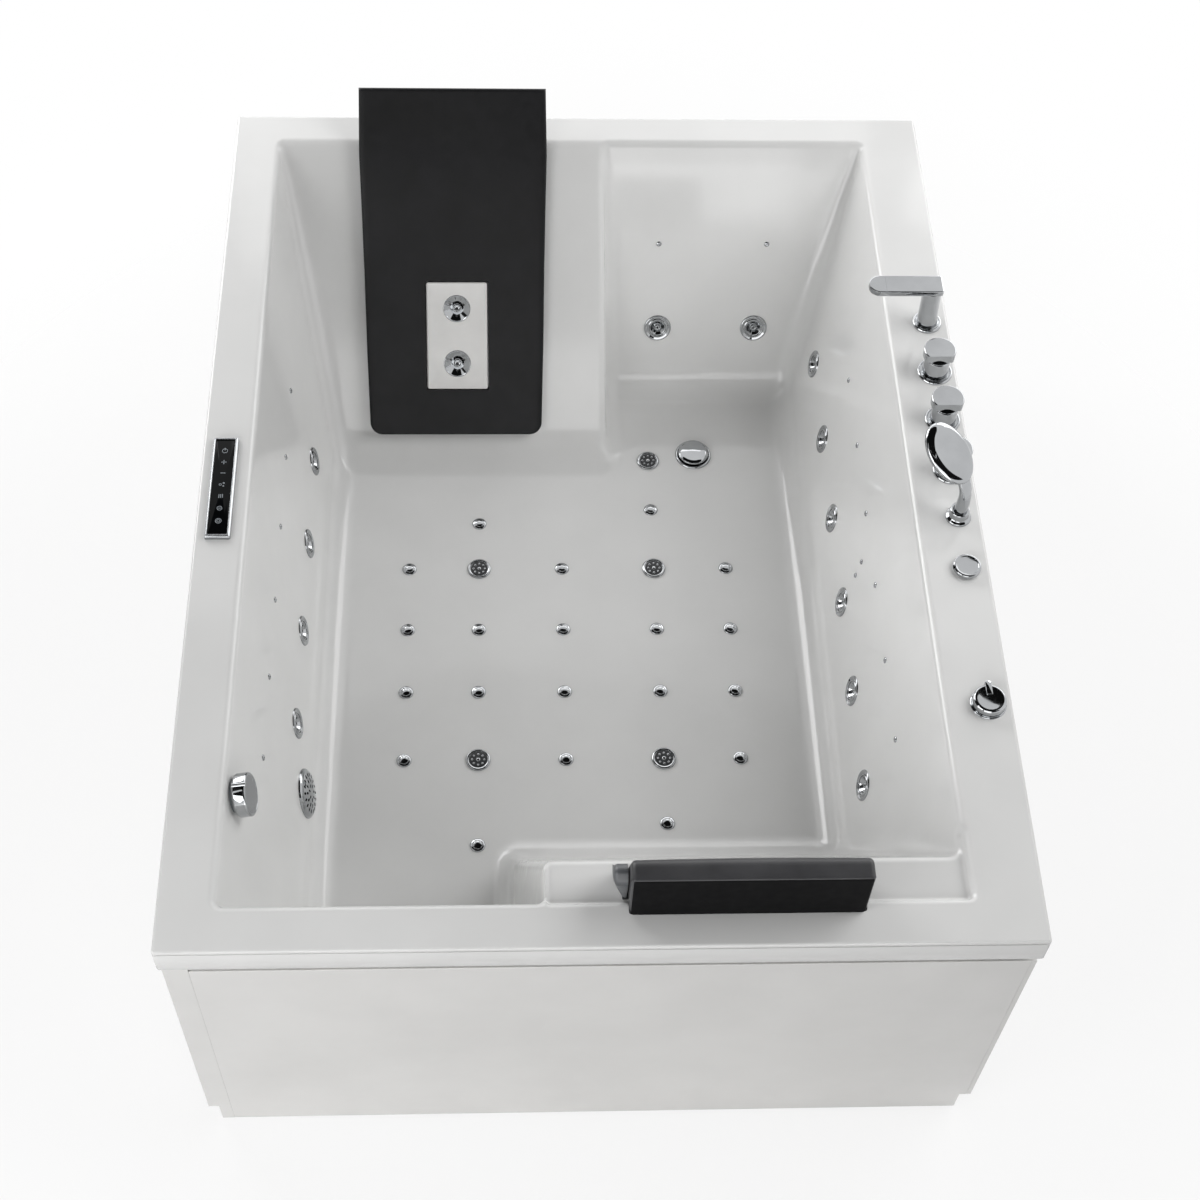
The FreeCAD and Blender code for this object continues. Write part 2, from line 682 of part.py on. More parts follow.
def overflow_knob():
    knob = turned([(7.06, 3.6), (29, 3.6), (31, 5), (OVERFLOW_KNOB_R, 6), (OVERFLOW_KNOB_R, 27),
                   (OVERFLOW_KNOB_R - 1.5, 28.5), (0, 28.5), (0, 20.5), (7.06, 20.5)])
    grip = box((-4, 4), (OVERFLOW_KNOB_R - 3, OVERFLOW_KNOB_R + 4), (3.6, 29))
    return knob.cut(grip)


def control_panel_bezel():
    """Bevelled frame standing on the deck round the glass."""
    x = (PANEL[0] - PANEL_WIDTH / 2, PANEL[0] + PANEL_WIDTH / 2)
    y = (PANEL[1] - PANEL_LENGTH / 2, PANEL[1] + PANEL_LENGTH / 2)
    frame = box(x, y, (DECK, DECK + 9.0))
    top = [e for e in frame.Edges if abs(edge_middle(e).z - DECK - 9.0) < 0.1]
    frame = frame.makeChamfer(3.0, top)
    window = box((x[0] + 5, x[1] - 5), (y[0] + 6, y[1] - 6), (DECK - 1, DECK + 10))
    return frame.cut(window)


def control_panel_glass():
    """Touch glass with its sealed housing dropped through the deck."""
    half = (PANEL_WIDTH / 2 - 5.2, PANEL_LENGTH / 2 - 6.2)
    glass = box((PANEL[0] - half[0], PANEL[0] + half[0]), (PANEL[1] - half[1], PANEL[1] + half[1]),
                (DECK, DECK + 7.0))
    half = (PANEL_WIDTH / 2 - 7.0, PANEL_LENGTH / 2 - 13.0)
    housing = box((PANEL[0] - half[0], PANEL[0] + half[0]), (PANEL[1] - half[1], PANEL[1] + half[1]),
                  (DECK - 26.0, DECK))
    return joined(glass, housing)


def spout():
    """Curved post carrying a flat blade that reaches over the basin."""
    ring = at(upright_rod(27.0, (0, 6)), on_deck(DECK_LINE_X, SPOUT_Y))
    blade_low = SPOUT_TOP - 12.0
    tip_x = DECK_LINE_X + 8.0 - SPOUT_LENGTH
    centre_y = SPOUT_Y - 15.0
    sections = []
    for share, radius in ((0.0, 20.0), (0.35, 17.5), (0.7, 17.5), (1.0, 19.0)):
        z = DECK + 6.0 + share * (blade_low - DECK - 6.0)
        spot = Vector(DECK_LINE_X - 9.0 * share, SPOUT_Y - 15.0 * share ** 1.5, z)
        sections.append(Part.Wire(Part.makeCircle(radius, spot, Vector(0, 0, 1))))
    post = Part.makeLoft(sections, True)
    blade = box((tip_x + SPOUT_WIDTH / 2, DECK_LINE_X + 8.0),
                (centre_y - SPOUT_WIDTH / 2, centre_y + SPOUT_WIDTH / 2), (blade_low, SPOUT_TOP))
    tip = upright_rod(SPOUT_WIDTH / 2, (blade_low, SPOUT_TOP), tip_x + SPOUT_WIDTH / 2, centre_y)
    mouth = upright_rod(7.0, (blade_low - 1, blade_low + 4), tip_x + SPOUT_WIDTH / 2, centre_y)
    tail = at(upright_rod(13.0, (-60, 0)), on_deck(DECK_LINE_X, SPOUT_Y))
    return joined(ring, post, blade, tip, tail).cut(mouth)


def deck_fitting_bases():
    """Rings, spindles and bodies of the deck fittings, one solid for each fitting."""
    solids = []
    valve = turned([(0, -70), (18, -70), (18, -22), (13, -22), (13, 0), (32, 0), (32, 2.5),
                    (30, 4), (SPINDLE_R, 4), (SPINDLE_R, 36), (0, 36)])
    for y in KNOBS.values():
        solids.append(at(valve, on_deck(DECK_LINE_X, y)))
    dock = turned([(0, -40), (13, -40), (13, 0), (22.5, 0), (22.5, 4), (17, 7), (17, 22),
                   (DOCK_R, 22), (DOCK_R, 2), (0, 2)])
    solids.append(at(dock, on_deck(DECK_LINE_X, HAND_SHOWER_Y)))
    low = turned([(0, -50), (13, -50), (13, 0), (21, 0), (21, 2), (6, 2), (6, 8), (0, 8)])
    solids.append(at(low, on_deck(DECK_LINE_X, AIR_DIAL_Y)))
    selector = turned([(0, -60), (13, -60), (13, 0), (30, 0), (30, 2), (28, 3), (6, 3), (6, 12), (0, 12)])
    solids.append(at(selector, on_deck(DECK_LINE_X, SELECTOR_Y)))
    return group(solids)


def valve_knob():
    """Round knob with a wider cap that is cut flat in front; bored for its spindle."""
    bore = SPINDLE_R + 0.07
    knob = turned([(bore, 4.4), (25, 4.4), (25, 40), (KNOB_R, 44), (KNOB_R, KNOB_HEIGHT - 2),
                   (KNOB_R - 2, KNOB_HEIGHT), (0, KNOB_HEIGHT), (0, 36.4), (bore, 36.4)])
    return knob.cut(box((-KNOB_R, KNOB_R), (-KNOB_R - 1, KNOB_FLAT_Y), (41, KNOB_HEIGHT + 1)))


def air_dial():
    dial = turned([(6.06, 2.4), (22, 2.4), (24, 4), (24, 9.5), (22.5, 11.5), (0, 11.5),
                   (0, 8.4), (6.06, 8.4)])
    return dial.cut(upright_rod(3.5, (5.0, 14), 0, -25.5))


def jet_selector_knob():
    """Low round knob with a pointer tab on its rim."""
    knob = turned([(6.06, 3.4), (26, 3.4), (27.5, 6), (27.5, 16), (25, 18.4), (0, 18.4),
                   (0, 12.4), (6.06, 12.4)])
    tab = box((-5, 5), (20, 33), (8, 21))
    return joined(knob, tab.cut(upright_rod(19.0, (0, 30))))


def hand_shower():
    """Handle standing in its dock, with an oval paddle head leaning over the bath."""
    handle = turned([(0, 2.3), (DOCK_R - 0.08, 2.3), (DOCK_R - 0.08, 22.5), (12.5, 24),
                     (10.5, 50), (11.5, 100), (0, 104)])
    lean_way = Vector(-0.50, 0.70, 0.51).normalize()
    side = Vector(0.81, 0.58, 0.0).normalize()
    face = lean_way.cross(side).normalize()
    head_place = Placement(Vector(0, 0, 96.0) + lean_way * 52.0,
                           Rotation(side, lean_way, face, "ZYX"))
    disc = turned([(0, -8), (30, -8), (38.5, -2), (38.5, 3), (34, 7), (0, 8)])
    stretch = FreeCAD.Matrix()
    stretch.scale(1.0, 1.48, 1.0)
    head = at(disc.transformGeometry(stretch), head_place)
    return joined(handle, head)


# ---- soft parts ------------------------------------------------------------------
def pad_frame():
    """Axes of the backrest pad: X across, Y up the lounge from its edge, Z off it."""
    return on_lounge(PAD_X, DECK)


def backrest_pad():
    """Moulded backrest that lies on the lounge and runs on above the deck."""
    half_top = PAD_TOP_WIDTH / 2
    half_foot = PAD_FOOT_WIDTH / 2
    outline = [(-half_top, PAD_HEAD, PIPE_GAP), (-half_foot, -PAD_REACH, PIPE_GAP),
               (half_foot, -PAD_REACH, PIPE_GAP), (half_top, PAD_HEAD, PIPE_GAP)]
    pad = prism(outline, (0, 0, PAD_THICK))
    lower = [e for e in pad.Edges if abs(edge_middle(e).z - PIPE_GAP - PAD_THICK / 2) < 1
             and edge_middle(e).y < 0]
    pad = pad.makeFillet(PAD_ROUND, lower)
    window = box(plate_span(0, 0.4), plate_span(1, 0.4), (-5, 40))
    return at(pad.cut(window), pad_frame())


def plate_span(axis, extra=0.0):
    """(low, high) of the jet plate in the pad's axes, across or along the lounge."""
    if axis == 0:
        middle = PAD_JET_X - PAD_X
    else:
        height = sum(PAD_JETS) / 2
        middle = -(DECK - height) / math.cos(math.radians(LOUNGE_WALL[1]))
    half = JET_PLATE[axis] / 2 + extra
    return (middle - half, middle + half)


def pad_jet_plate():
    """White plate let into the pad, with a seat for each of its jets."""
    plate = at(box(plate_span(0), plate_span(1), (PIPE_GAP, 25.4)), pad_frame())
    seat = upright_rod(PAD_DISH_BORE_R, (8.7, 40))
    through = upright_rod(HOLE_R, (-5, 40))
    for place in pad_jet_places().values():
        plate = plate.cut([at(seat, place), at(through, place)])
    return plate


def pillow():
    """Bath pillow: upright back, rounded top and a slope down over the backrest."""
    x0, x1 = PILLOW_X
    outline = [(PILLOW_BACK_Y, DECK + 2.0), (PILLOW_BACK_Y, PILLOW_TOP), (PILLOW_BACK_Y + 34, PILLOW_TOP),
               (PILLOW_BACK_Y + 62, 752.0), (PILLOW_BACK_Y + 86, SHELF + 7.0),
               (PILLOW_BACK_Y + 33, SHELF + 7.0), (PILLOW_BACK_Y + 33, DECK + 2.0)]
    solid = prism([(x0, y, z) for y, z in outline], (x1 - x0, 0, 0))
    top = [e for e in solid.Edges if abs(edge_middle(e).z - PILLOW_TOP) < 0.1
           and abs(edge_middle(e).x - (x0 + x1) / 2) < 1]
    solid = solid.makeFillet(12.0, top)
    pegs = [upright_rod(5.08, (SHELF, SHELF + 32), x, -795.0) for x in pillow_peg_x()]
    return solid.cut(pegs)


def pillow_peg_x():
    return (PILLOW_X[0] + 60.0, PILLOW_X[1] - 60.0)


def pillow_bracket():
    """Plate on the shelf with two pegs and a wedge-shaped cheek at its left end."""
    y0 = FRONT_EDGE + 13.0
    y1 = FRONT_BACKREST[0] - 6.0
    plate = box((PILLOW_X[0] - 8.0, PILLOW_X[1] - 16.0), (y0, y1), (SHELF, SHELF + 6.0))
    pegs = [upright_rod(5.0, (SHELF + 6.0, SHELF + 30.0), x, -795.0) for x in pillow_peg_x()]
    cheek = prism([(PILLOW_X[0] - 25.0, y0, SHELF + 6.0), (PILLOW_X[0] - 25.0, y0 - 10.0, 752.0),
                   (PILLOW_X[0] - 25.0, y0 + 5.0, 768.0), (PILLOW_X[0] - 25.0, y0 + 21.0, 762.0),
                   (PILLOW_X[0] - 25.0, y1, SHELF + 6.0)], (24.0, 0, 0))
    taper = prism([(PILLOW_X[0] - 26.0, y0 - 20.0, 746.0), (PILLOW_X[0] - 8.0, y0 - 20.0, SHELF),
                   (PILLOW_X[0] - 26.0, y0 - 20.0, SHELF)], (0, 90.0, 0))
    return joined(plate, cheek.cut(taper), *pegs)


# ---- equipment -------------------------------------------------------------------
def along_x(outline, y, z):
    """Turned solid with its axis on a line along X; heights are X values."""
    place = Placement(Vector(0, y, z), Rotation(Vector(0, 1, 0), 90))
    return at(turned(outline), place)


def pump_casing():
    x0, x1 = PUMP_X
    case = along_x([(20, x0 - 22), (28, x0 - 22), (28, x0), (PUMP_R, x0), (PUMP_R, x1), (8.08, x1),
                    (8.08, x1 - 12), (60, x1 - 12), (60, x0 + 10), (20, x0 + 10)], PUMP_Y, PUMP_Z)
    middle = (x0 + x1) / 2
    outlet = rod(20, (middle, PUMP_Y + 30, PUMP_Z + 48), (middle, PUMP_Y + 100, PUMP_Z + 48))
    chamber = along_x([(0, x0 + 10), (60, x0 + 10), (60, x1 - 12), (0, x1 - 12)], PUMP_Y, PUMP_Z)
    return joined(case, outlet.cut(chamber))


def pump_motor():
    x0, x1 = MOTOR_X
    motor = along_x([(8.08, PUMP_X[1]), (66, PUMP_X[1]), (66, x0), (MOTOR_R, x0), (MOTOR_R, x1 - 20),
                     (54, x1), (0, x1), (0, x0 + 30), (8.08, x0 + 30)], PUMP_Y, PUMP_Z)
    box_x = ((x0 + x1) / 2 - 40, (x0 + x1) / 2 + 40)
    terminals = box(box_x, (PUMP_Y - 32, PUMP_Y + 32), (PUMP_Z + 40, PUMP_Z + MOTOR_R + 22))
    return joined(motor, terminals.cut(along_x([(0, x0), (MOTOR_R - 8, x0), (MOTOR_R - 8, x1), (0, x1)],
                                               PUMP_Y, PUMP_Z)))


def pump_impeller():
    """Vaned wheel on the motor's shaft."""
    x0, x1 = PUMP_X
    wheel = along_x([(0, x0 + 16), (14, x0 + 16), (14, x1 - 24), (54, x1 - 24), (54, x1 - 18),
                     (8.0, x1 - 18), (8.0, MOTOR_X[0] + 28), (0, MOTOR_X[0] + 28)], PUMP_Y, PUMP_Z)
    vanes = []
    for i in range(6):
        vane = box((x0 + 18, x1 - 24), (PUMP_Y + 12, PUMP_Y + 52), (PUMP_Z - 2, PUMP_Z + 2))
        vane.rotate(Vector(0, PUMP_Y, PUMP_Z), Vector(1, 0, 0), 60 * i)
        vanes.append(vane)
    return joined(wheel, *vanes)


def equipment_trays():
    """Steel trays on the frame with the cradles for the pump."""
    z = (FRAME_TOP, FRAME_TOP + TRAY)
    pump_tray = box((-600, -100), (580, 840), z)
    blower_tray = box((40, 480), (-840, -610), z)
    cradles = []
    cradle_z = (FRAME_TOP + TRAY, PUMP_Z - MOTOR_R + 14)
    for x in (MOTOR_X[0] + 20, MOTOR_X[1] - 60):
        block = box((x, x + 25), (PUMP_Y - 45, PUMP_Y + 45), cradle_z)
        cradles.append(block.cut(along_x([(0, x - 5), (MOTOR_R + 0.3, x - 5), (MOTOR_R + 0.3, x + 30),
                                          (0, x + 30)], PUMP_Y, PUMP_Z)))
    return group([joined(pump_tray, *cradles), blower_tray])


def blower():
    """Air blower: round fan housing with its motor on top and an outlet spigot."""
    x, y = 370.0, -725.0
    base = FRAME_TOP + TRAY
    housing = upright_rod(82, (base, base + 70), x, y)
    motor = upright_rod(50, (base + 70, base + 130), x, y)
    spigot = rod(16, (x - 100, y + 55, base + 35), (x, y + 55, base + 35))
    return joined(housing, motor, spigot)


def control_box():
    base = FRAME_TOP + TRAY
    case = box((70, 240), (-800, -700), (base, base + 110))
    case = case.makeFillet(8, [e for e in case.Edges if abs(edge_middle(e).z - base - 55) < 1])
    glands = [rod(8, (x, -700, base + 30), (x, -684, base + 30)) for x in (100, 130, 160, 190)]
    return joined(case, *glands)


def manifold_point(place, side):
    """Centre of the water pipe (side -1) or air pipe (+1) behind a jet."""
    radius = MAIN_PIPE_R if side < 0 else AIR_PIPE_R
    return point_on(place, 0, side * (CHAMBER_R + radius + PIPE_GAP), -42)


def wall_pipes(side, radius):
    """Water or air pipes behind the jets, joined along the back; the left leg steps up there."""
    left = manifold_point(on_left(LEFT_JETS[-1], JET_HEIGHT), side)
    right = manifold_point(on_right(RIGHT_JETS[-1], JET_HEIGHT), side)
    foot = manifold_point(on_back(FOOTWELL_JETS[0], FOOTWELL_JET_HEIGHT), side)
    step = PIPE_STEP if side < 0 else 0.0
    last_jet = LEFT_JETS[0] + 60
    route = [(left[0], left[1] - 45, left[2]), (left[0], last_jet, left[2])]
    if step:
        route.append((left[0], last_jet + 90, left[2] + step))
    route += [(left[0], BACK_PIPE_Y, left[2] + step), (right[0], BACK_PIPE_Y, right[2]),
              (right[0], right[1] - 45, right[2])]
    main = pipe_run(radius, route)
    end_x = FOOTWELL_JETS[1] + 40
    foot_run = pipe_run(radius, [(FOOTWELL_JETS[0] - 30, foot[1], foot[2]), (end_x, foot[1], foot[2]),
                                 (end_x + 30, foot[1] + 40, foot[2]),
                                 (end_x + 30, BACK_PIPE_Y, right[2] + 2)])
    return main, foot_run.cut(main)


def split_runs(solid):
    """Cuts a pipe ring at its back corners so that each leg is a simple bar."""
    middle = box((-520, 470), (780, HALF_L), (0, DECK))
    return [solid.common(middle)] + solid.cut(middle).Solids


def pad_feed(side, radius):
    """Feed up the side of the pad jets, behind the lounge."""
    places = list(pad_jet_places().values())
    offset = CHAMBER_R + radius + PIPE_GAP
    low = point_on(places[1], -side * offset, -30, -42)
    high = point_on(places[0], -side * offset, 40, -42)
    return low, high


def water_pipes():
    main, foot = wall_pipes(-1, MAIN_PIPE_R)
    low, high = pad_feed(-1, 10.0)
    z = main.BoundBox.ZMin + MAIN_PIPE_R + PIPE_STEP / 2
    pad = pipe_run(10.0, [low, high, (high[0], BACK_PIPE_Y - 52, z + 50), (high[0], BACK_PIPE_Y, z)])
    middle = sum(PUMP_X) / 2
    outlet = rod(20.0, (middle, PUMP_Y + 100, PUMP_Z + 48), (middle, BACK_PIPE_Y, PUMP_Z + 48))
    drop = joined(outlet, Part.makeSphere(20.0, Vector(middle, BACK_PIPE_Y, PUMP_Z + 48)))
    trunk = joined(main, drop)
    return group(split_runs(trunk) + [largest(foot.cut(trunk)), largest(pad.cut(trunk))])


def air_pipes():
    """Air lines behind the jets and under the floor, and the dial's hose."""
    main, foot = wall_pipes(1, AIR_PIPE_R)
    low, high = pad_feed(1, AIR_PIPE_R)
    z = main.BoundBox.ZMax - AIR_PIPE_R
    pad = pipe_run(AIR_PIPE_R, [low, high, (high[0], BACK_PIPE_Y - 4, z + 20), (high[0], BACK_PIPE_Y, z)])
    target = manifold_point(on_right(AIR_DIAL_Y, JET_HEIGHT), 1)
    dial_hose = pipe_run(6.5, [(DECK_LINE_X, AIR_DIAL_Y, DECK - 50.3), (DECK_LINE_X, AIR_DIAL_Y, 560),
                               (target[0], AIR_DIAL_Y, target[2])])
    return group(split_runs(main) + [largest(p.cut(main)) for p in (foot, pad, dial_hose)])


def floor_air_pipes():
    """One pipe under each row of floor jets, and the header that joins them."""
    ends = {}
    for x, y in bubble_jet_spots() + plate_spots():
        low, high = ends.get(x, (y, y))
        ends[x] = (min(low, y), max(high, y))
    solids = []
    header = rod(12.0, (COLUMNS[0] - 14, HEADER_Y, HEADER_Z), (520, HEADER_Y, HEADER_Z))
    for x, (low, high) in ends.items():
        solids.append(rod(FLOOR_AIR_R, (x, low - 15, FLOOR_AIR_Z), (x, high + 15, FLOOR_AIR_Z)))
        header = header.fuse(rod(7.0, (x, HEADER_Y, HEADER_Z), (x, HEADER_Y, FLOOR_AIR_Z)))
    header = header.cut(solids)
    return group(solids + [header])


def suction_pipe():
    place = on_left(*SUCTION)
    start = point_on(place, 0, 0, -14.3)
    knee = point_on(place, 0, 0, -58)
    x = -570.0
    route = [start, knee, (x, SUCTION[0] + 60, SUCTION_PIPE_Z), (x, PUMP_Y - 60, SUCTION_PIPE_Z),
             (x, PUMP_Y, PUMP_Z), (PUMP_X[0] - 22.3, PUMP_Y, PUMP_Z)]
    return pipe_run(22.0, route)


def waste_pipe():
    """Trap-side outlet that leaves the back as a plain pipe end."""
    x, y = DRAIN
    pipe = pipe_run(WASTE_R, [(x, y, FLOOR - 62.3), (x, y, WASTE_Z), (x, PIPE_END_Y, WASTE_Z)])
    spigot = rod(WASTE_SPIGOT_R, (x, PIPE_END_Y - WASTE_SPIGOT, WASTE_Z), (x, PIPE_END_Y, WASTE_Z))
    bore = rod(WASTE_R - 2.5, (x, PIPE_END_Y - 90, WASTE_Z), (x, PIPE_END_Y + 1, WASTE_Z))
    return joined(pipe, spigot).cut(bore)


def overflow_pipe():
    """Overflow body and its drop to the waste."""
    place = on_left(*OVERFLOW)
    top = point_on(place, 0, 0, -24)
    x, y = DRAIN
    drop = pipe_run(11.0, [top, (-606.0, OVERFLOW[0], 590.0), (-606.0, OVERFLOW[0], OVERFLOW_RUN_Z),
                           (x - 18, y + 20, OVERFLOW_RUN_Z)])
    body = at(overflow_body(), place)
    end = upright_rod(26.9, (FLOOR - 63, FLOOR), x, y).fuse(waste_pipe())
    return joined(body, drop.cut(body)).cut(end)


def inlet_pipes():
    """Hot and cold tails that leave the back as threaded spigots."""
    solids = []
    for y, z in ((KNOBS["hot_knob"], HOT_Z), (KNOBS["cold_knob"], COLD_Z)):
        tail = pipe_run(7.5, [(DECK_LINE_X, y, DECK - 70.3), (DECK_LINE_X, y, z + 15),
                              (SUPPLY_X, y + 50, z), (SUPPLY_X, PIPE_END_Y, z)])
        spigot = rod(SUPPLY_R, (SUPPLY_X, PIPE_END_Y - 22, z), (SUPPLY_X, PIPE_END_Y, z))
        bore = rod(6.0, (SUPPLY_X, PIPE_END_Y - 60, z), (SUPPLY_X, PIPE_END_Y + 1, z))
        solids.append(joined(tail, spigot).cut(bore))
    return group(solids)


# ---- everything ------------------------------------------------------------------
def main():
    os.makedirs("parts", exist_ok=True)
    save("tub_shell", tub_shell())
    save("front_apron", front_apron())
    save("left_apron", side_apron(-1))
    save("right_apron", side_apron(1))
    save("corner_post", corner_post())
    save("frame_base", frame_base())
    save("frame_uprights", frame_uprights())
    save("levelling_feet", levelling_feet())
    save("foot_locknuts", foot_locknuts())

    save("jet_bodies", jet_bodies())
    save("jet_flanges", group([at(jet_flange(), p) for p in jet_places().values()]))
    for name, place in jet_places().items():
        save(name, at(jet_insert(), place))
    for name, place in pad_jet_places().items():
        save(name, at(pad_jet_insert(), place))
    save("air_nozzles", group([at(air_nozzle(), p) for p in nozzle_places()]))
    save("level_sensors", group([at(level_sensor(), on_right(y, z)) for y, z in SENSORS]))

    save("floor_bubble_jets", group([at(bubble_jet(), on_floor(*s)) for s in bubble_jet_spots()]))
    save("floor_massage_plates", group([at(massage_plate(), on_floor(*s)) for s in plate_spots()]))
    save("drain_flange", at(drain_flange(), on_floor(*DRAIN)))
    save("drain_plug", at(drain_plug(), on_floor(*DRAIN)))

    save("suction_grille", at(suction_grille(), on_left(*SUCTION)))
    save("overflow_knob", at(overflow_knob(), on_left(*OVERFLOW)))
    save("control_panel_bezel", control_panel_bezel())
    save("control_panel_glass", control_panel_glass())
    save("spout", spout())
    save("deck_fitting_bases", deck_fitting_bases())
    for name, y in KNOBS.items():
        save(name, at(valve_knob(), on_deck(DECK_LINE_X, y)))
    save("hand_shower", at(hand_shower(), on_deck(DECK_LINE_X, HAND_SHOWER_Y)))
    save("air_dial", at(air_dial(), on_deck(DECK_LINE_X, AIR_DIAL_Y)))
    save("jet_selector_knob", at(jet_selector_knob(), on_deck(DECK_LINE_X, SELECTOR_Y)))

    save("backrest_pad", backrest_pad())
    save("pad_jet_plate", pad_jet_plate())
    save("pillow", pillow())
    save("pillow_bracket", pillow_bracket())

    save("pump_casing", pump_casing())
    save("pump_motor", pump_motor())
    save("pump_impeller", pump_impeller())
    save("equipment_trays", equipment_trays())
    save("blower", blower())
    save("control_box", control_box())
    save("water_pipes", water_pipes())
    save("air_pipes", air_pipes())
    save("floor_air_pipes", floor_air_pipes())
    save("suction_pipe", suction_pipe())
    save("waste_pipe", waste_pipe())
    save("overflow_pipe", overflow_pipe())
    save("inlet_pipes", inlet_pipes())


main()
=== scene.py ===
import logging
import math
from dataclasses import dataclass
from enum import Enum
from typing import ClassVar, Iterable, Sequence

import bmesh
import bpy
import numpy as np
from mathutils import Matrix, Vector


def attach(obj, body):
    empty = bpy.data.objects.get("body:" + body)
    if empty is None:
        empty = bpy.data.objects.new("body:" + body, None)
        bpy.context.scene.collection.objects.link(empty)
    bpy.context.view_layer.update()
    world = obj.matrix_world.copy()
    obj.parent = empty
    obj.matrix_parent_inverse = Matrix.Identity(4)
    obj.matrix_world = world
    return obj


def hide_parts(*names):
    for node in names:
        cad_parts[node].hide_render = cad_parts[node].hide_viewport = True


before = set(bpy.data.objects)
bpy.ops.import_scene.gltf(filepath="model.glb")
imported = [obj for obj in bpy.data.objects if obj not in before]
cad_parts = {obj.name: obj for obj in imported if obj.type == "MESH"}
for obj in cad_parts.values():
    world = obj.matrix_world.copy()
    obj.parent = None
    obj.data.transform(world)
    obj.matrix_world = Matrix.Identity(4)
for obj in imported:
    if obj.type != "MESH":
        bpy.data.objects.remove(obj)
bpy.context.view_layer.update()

LOG = logging.getLogger("bath")

# Metres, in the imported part's own frame: +X right, +Y to the wall side, +Z up.
MM = 0.001
DECK = 0.700
FLOOR = 0.220
HALF_WIDTH = 0.675
HALF_LENGTH = 0.900
SHELL_THICK = 0.008
FASCIA = 0.060
TUB = "tub"                       # the body that everything fixed rides on

Mesh = bpy.types.Mesh
Corners = Sequence[tuple[float, float, float]]


# ---- meshes ----------------------------------------------------------------------
def mesh_of(name: str, points: np.ndarray, faces: np.ndarray) -> Mesh:
    """Makes a mesh from arrays and merges the points that coincide.

    Args:
        name: the mesh's name.
        points: (n, 3) places.
        faces: (m, 4) or (m, 3) indices, anticlockwise seen from outside.

    Returns:
        The mesh, smooth with sharp edges over 35 degrees.
    """
    mesh = bpy.data.meshes.new(name)
    mesh.from_pydata(points.tolist(), [], faces.tolist())
    tidy = bmesh.new()
    tidy.from_mesh(mesh)
    bmesh.ops.remove_doubles(tidy, verts=tidy.verts, dist=1e-6)
    tidy.to_mesh(mesh)
    tidy.free()
    return smooth(mesh)


def smooth(mesh: Mesh, angle: float = 35.0) -> Mesh:
    """Shades a mesh smooth, with edges sharper than the angle left crisp."""
    mesh.shade_smooth()
    mesh.set_sharp_from_angle(angle=math.radians(angle))
    return mesh


def grid_faces(rows: int, columns: int, wrap: bool = False) -> np.ndarray:
    """Quads of a grid numbered row by row; wrap joins the last column to the first.

    Returns:
        (m, 4) indices.
    """
    index = np.arange(rows * columns).reshape(rows, columns)
    if wrap:
        index = np.hstack([index, index[:, :1]])
    quads = [index[:-1, :-1], index[1:, :-1], index[1:, 1:], index[:-1, 1:]]
    return np.stack(quads, axis=-1).reshape(-1, 4)


def outline(corners: Corners, steps: int = 5, closed: bool = False) -> np.ndarray:
    """Line through (a, b, round) corners, each corner cut back by its round and curved.

    A corner C between A and B, both its round away from it, becomes
    (1 - t)^2 A + 2 t (1 - t) C + t^2 B for t from 0 to 1.

    Args:
        corners: two coordinates and the cut-back of each corner.
        steps: points on each curve.
        closed: True where the line comes back to its start.

    Returns:
        (n, 2) points.
    """
    places = np.array([c[:2] for c in corners], float)
    t = np.linspace(0.0, 1.0, steps)[:, None]
    line = []
    for i, (a, b, cut) in enumerate(corners):
        here = places[i]
        if cut <= 0 or (not closed and i in (0, len(corners) - 1)):
            line.append(here[None, :])
            continue
        before = places[i - 1] - here
        after = places[(i + 1) % len(places)] - here
        reach = min(cut, np.linalg.norm(before) * 0.49, np.linalg.norm(after) * 0.49)
        start = here + before / np.linalg.norm(before) * reach
        end = here + after / np.linalg.norm(after) * reach
        line.append((1 - t) ** 2 * start + 2 * t * (1 - t) * here + t ** 2 * end)
    return np.vstack(line)


def turned(name: str, profile: np.ndarray, segments: int = 48) -> Mesh:
    """Surface of revolution: (r cos a, r sin a, z) for each (r, z) of the profile.

    The profile runs from the top on the axis, outwards and down, so that faces point out.
    """
    angle = np.linspace(0.0, 2 * math.pi, segments, endpoint=False)
    r, z = profile[:, :1], profile[:, 1:]
    points = np.stack([r * np.cos(angle), r * np.sin(angle), z + 0 * angle], axis=-1)
    return mesh_of(name, points.reshape(-1, 3), grid_faces(len(profile), segments, wrap=True))


def stacked(name: str, rings: np.ndarray) -> Mesh:
    """Closed skin through rings of points, with a fan over the first and the last ring.

    Args:
        name: the mesh's name.
        rings: (k, n, 3) loops, each anticlockwise seen from the first ring's side.
    """
    first = np.repeat(rings[:1].mean(axis=1, keepdims=True), rings.shape[1], axis=1)
    last = np.repeat(rings[-1:].mean(axis=1, keepdims=True), rings.shape[1], axis=1)
    rings = np.concatenate([first, rings, last])
    return mesh_of(name, rings.reshape(-1, 3), grid_faces(len(rings), rings.shape[1], wrap=True))


def inset_loop(loop: np.ndarray, inset: float) -> np.ndarray:
    """Moves every point of a closed plan loop inwards along the loop's own normal.

    Args:
        loop: (n, 2) points, anticlockwise.
        inset: distance inwards.
    """
    along = np.roll(loop, -1, axis=0) - np.roll(loop, 1, axis=0)
    normal = np.stack([-along[:, 1], along[:, 0]], axis=1)
    length = np.linalg.norm(normal, axis=1, keepdims=True)
    return loop + normal / np.maximum(length, 1e-9) * inset


def in_mm(pairs: Sequence[tuple[float, float]]) -> list[tuple[float, float]]:
    """Pairs given in mm, in metres."""
    return [(a * MM, b * MM) for a, b in pairs]


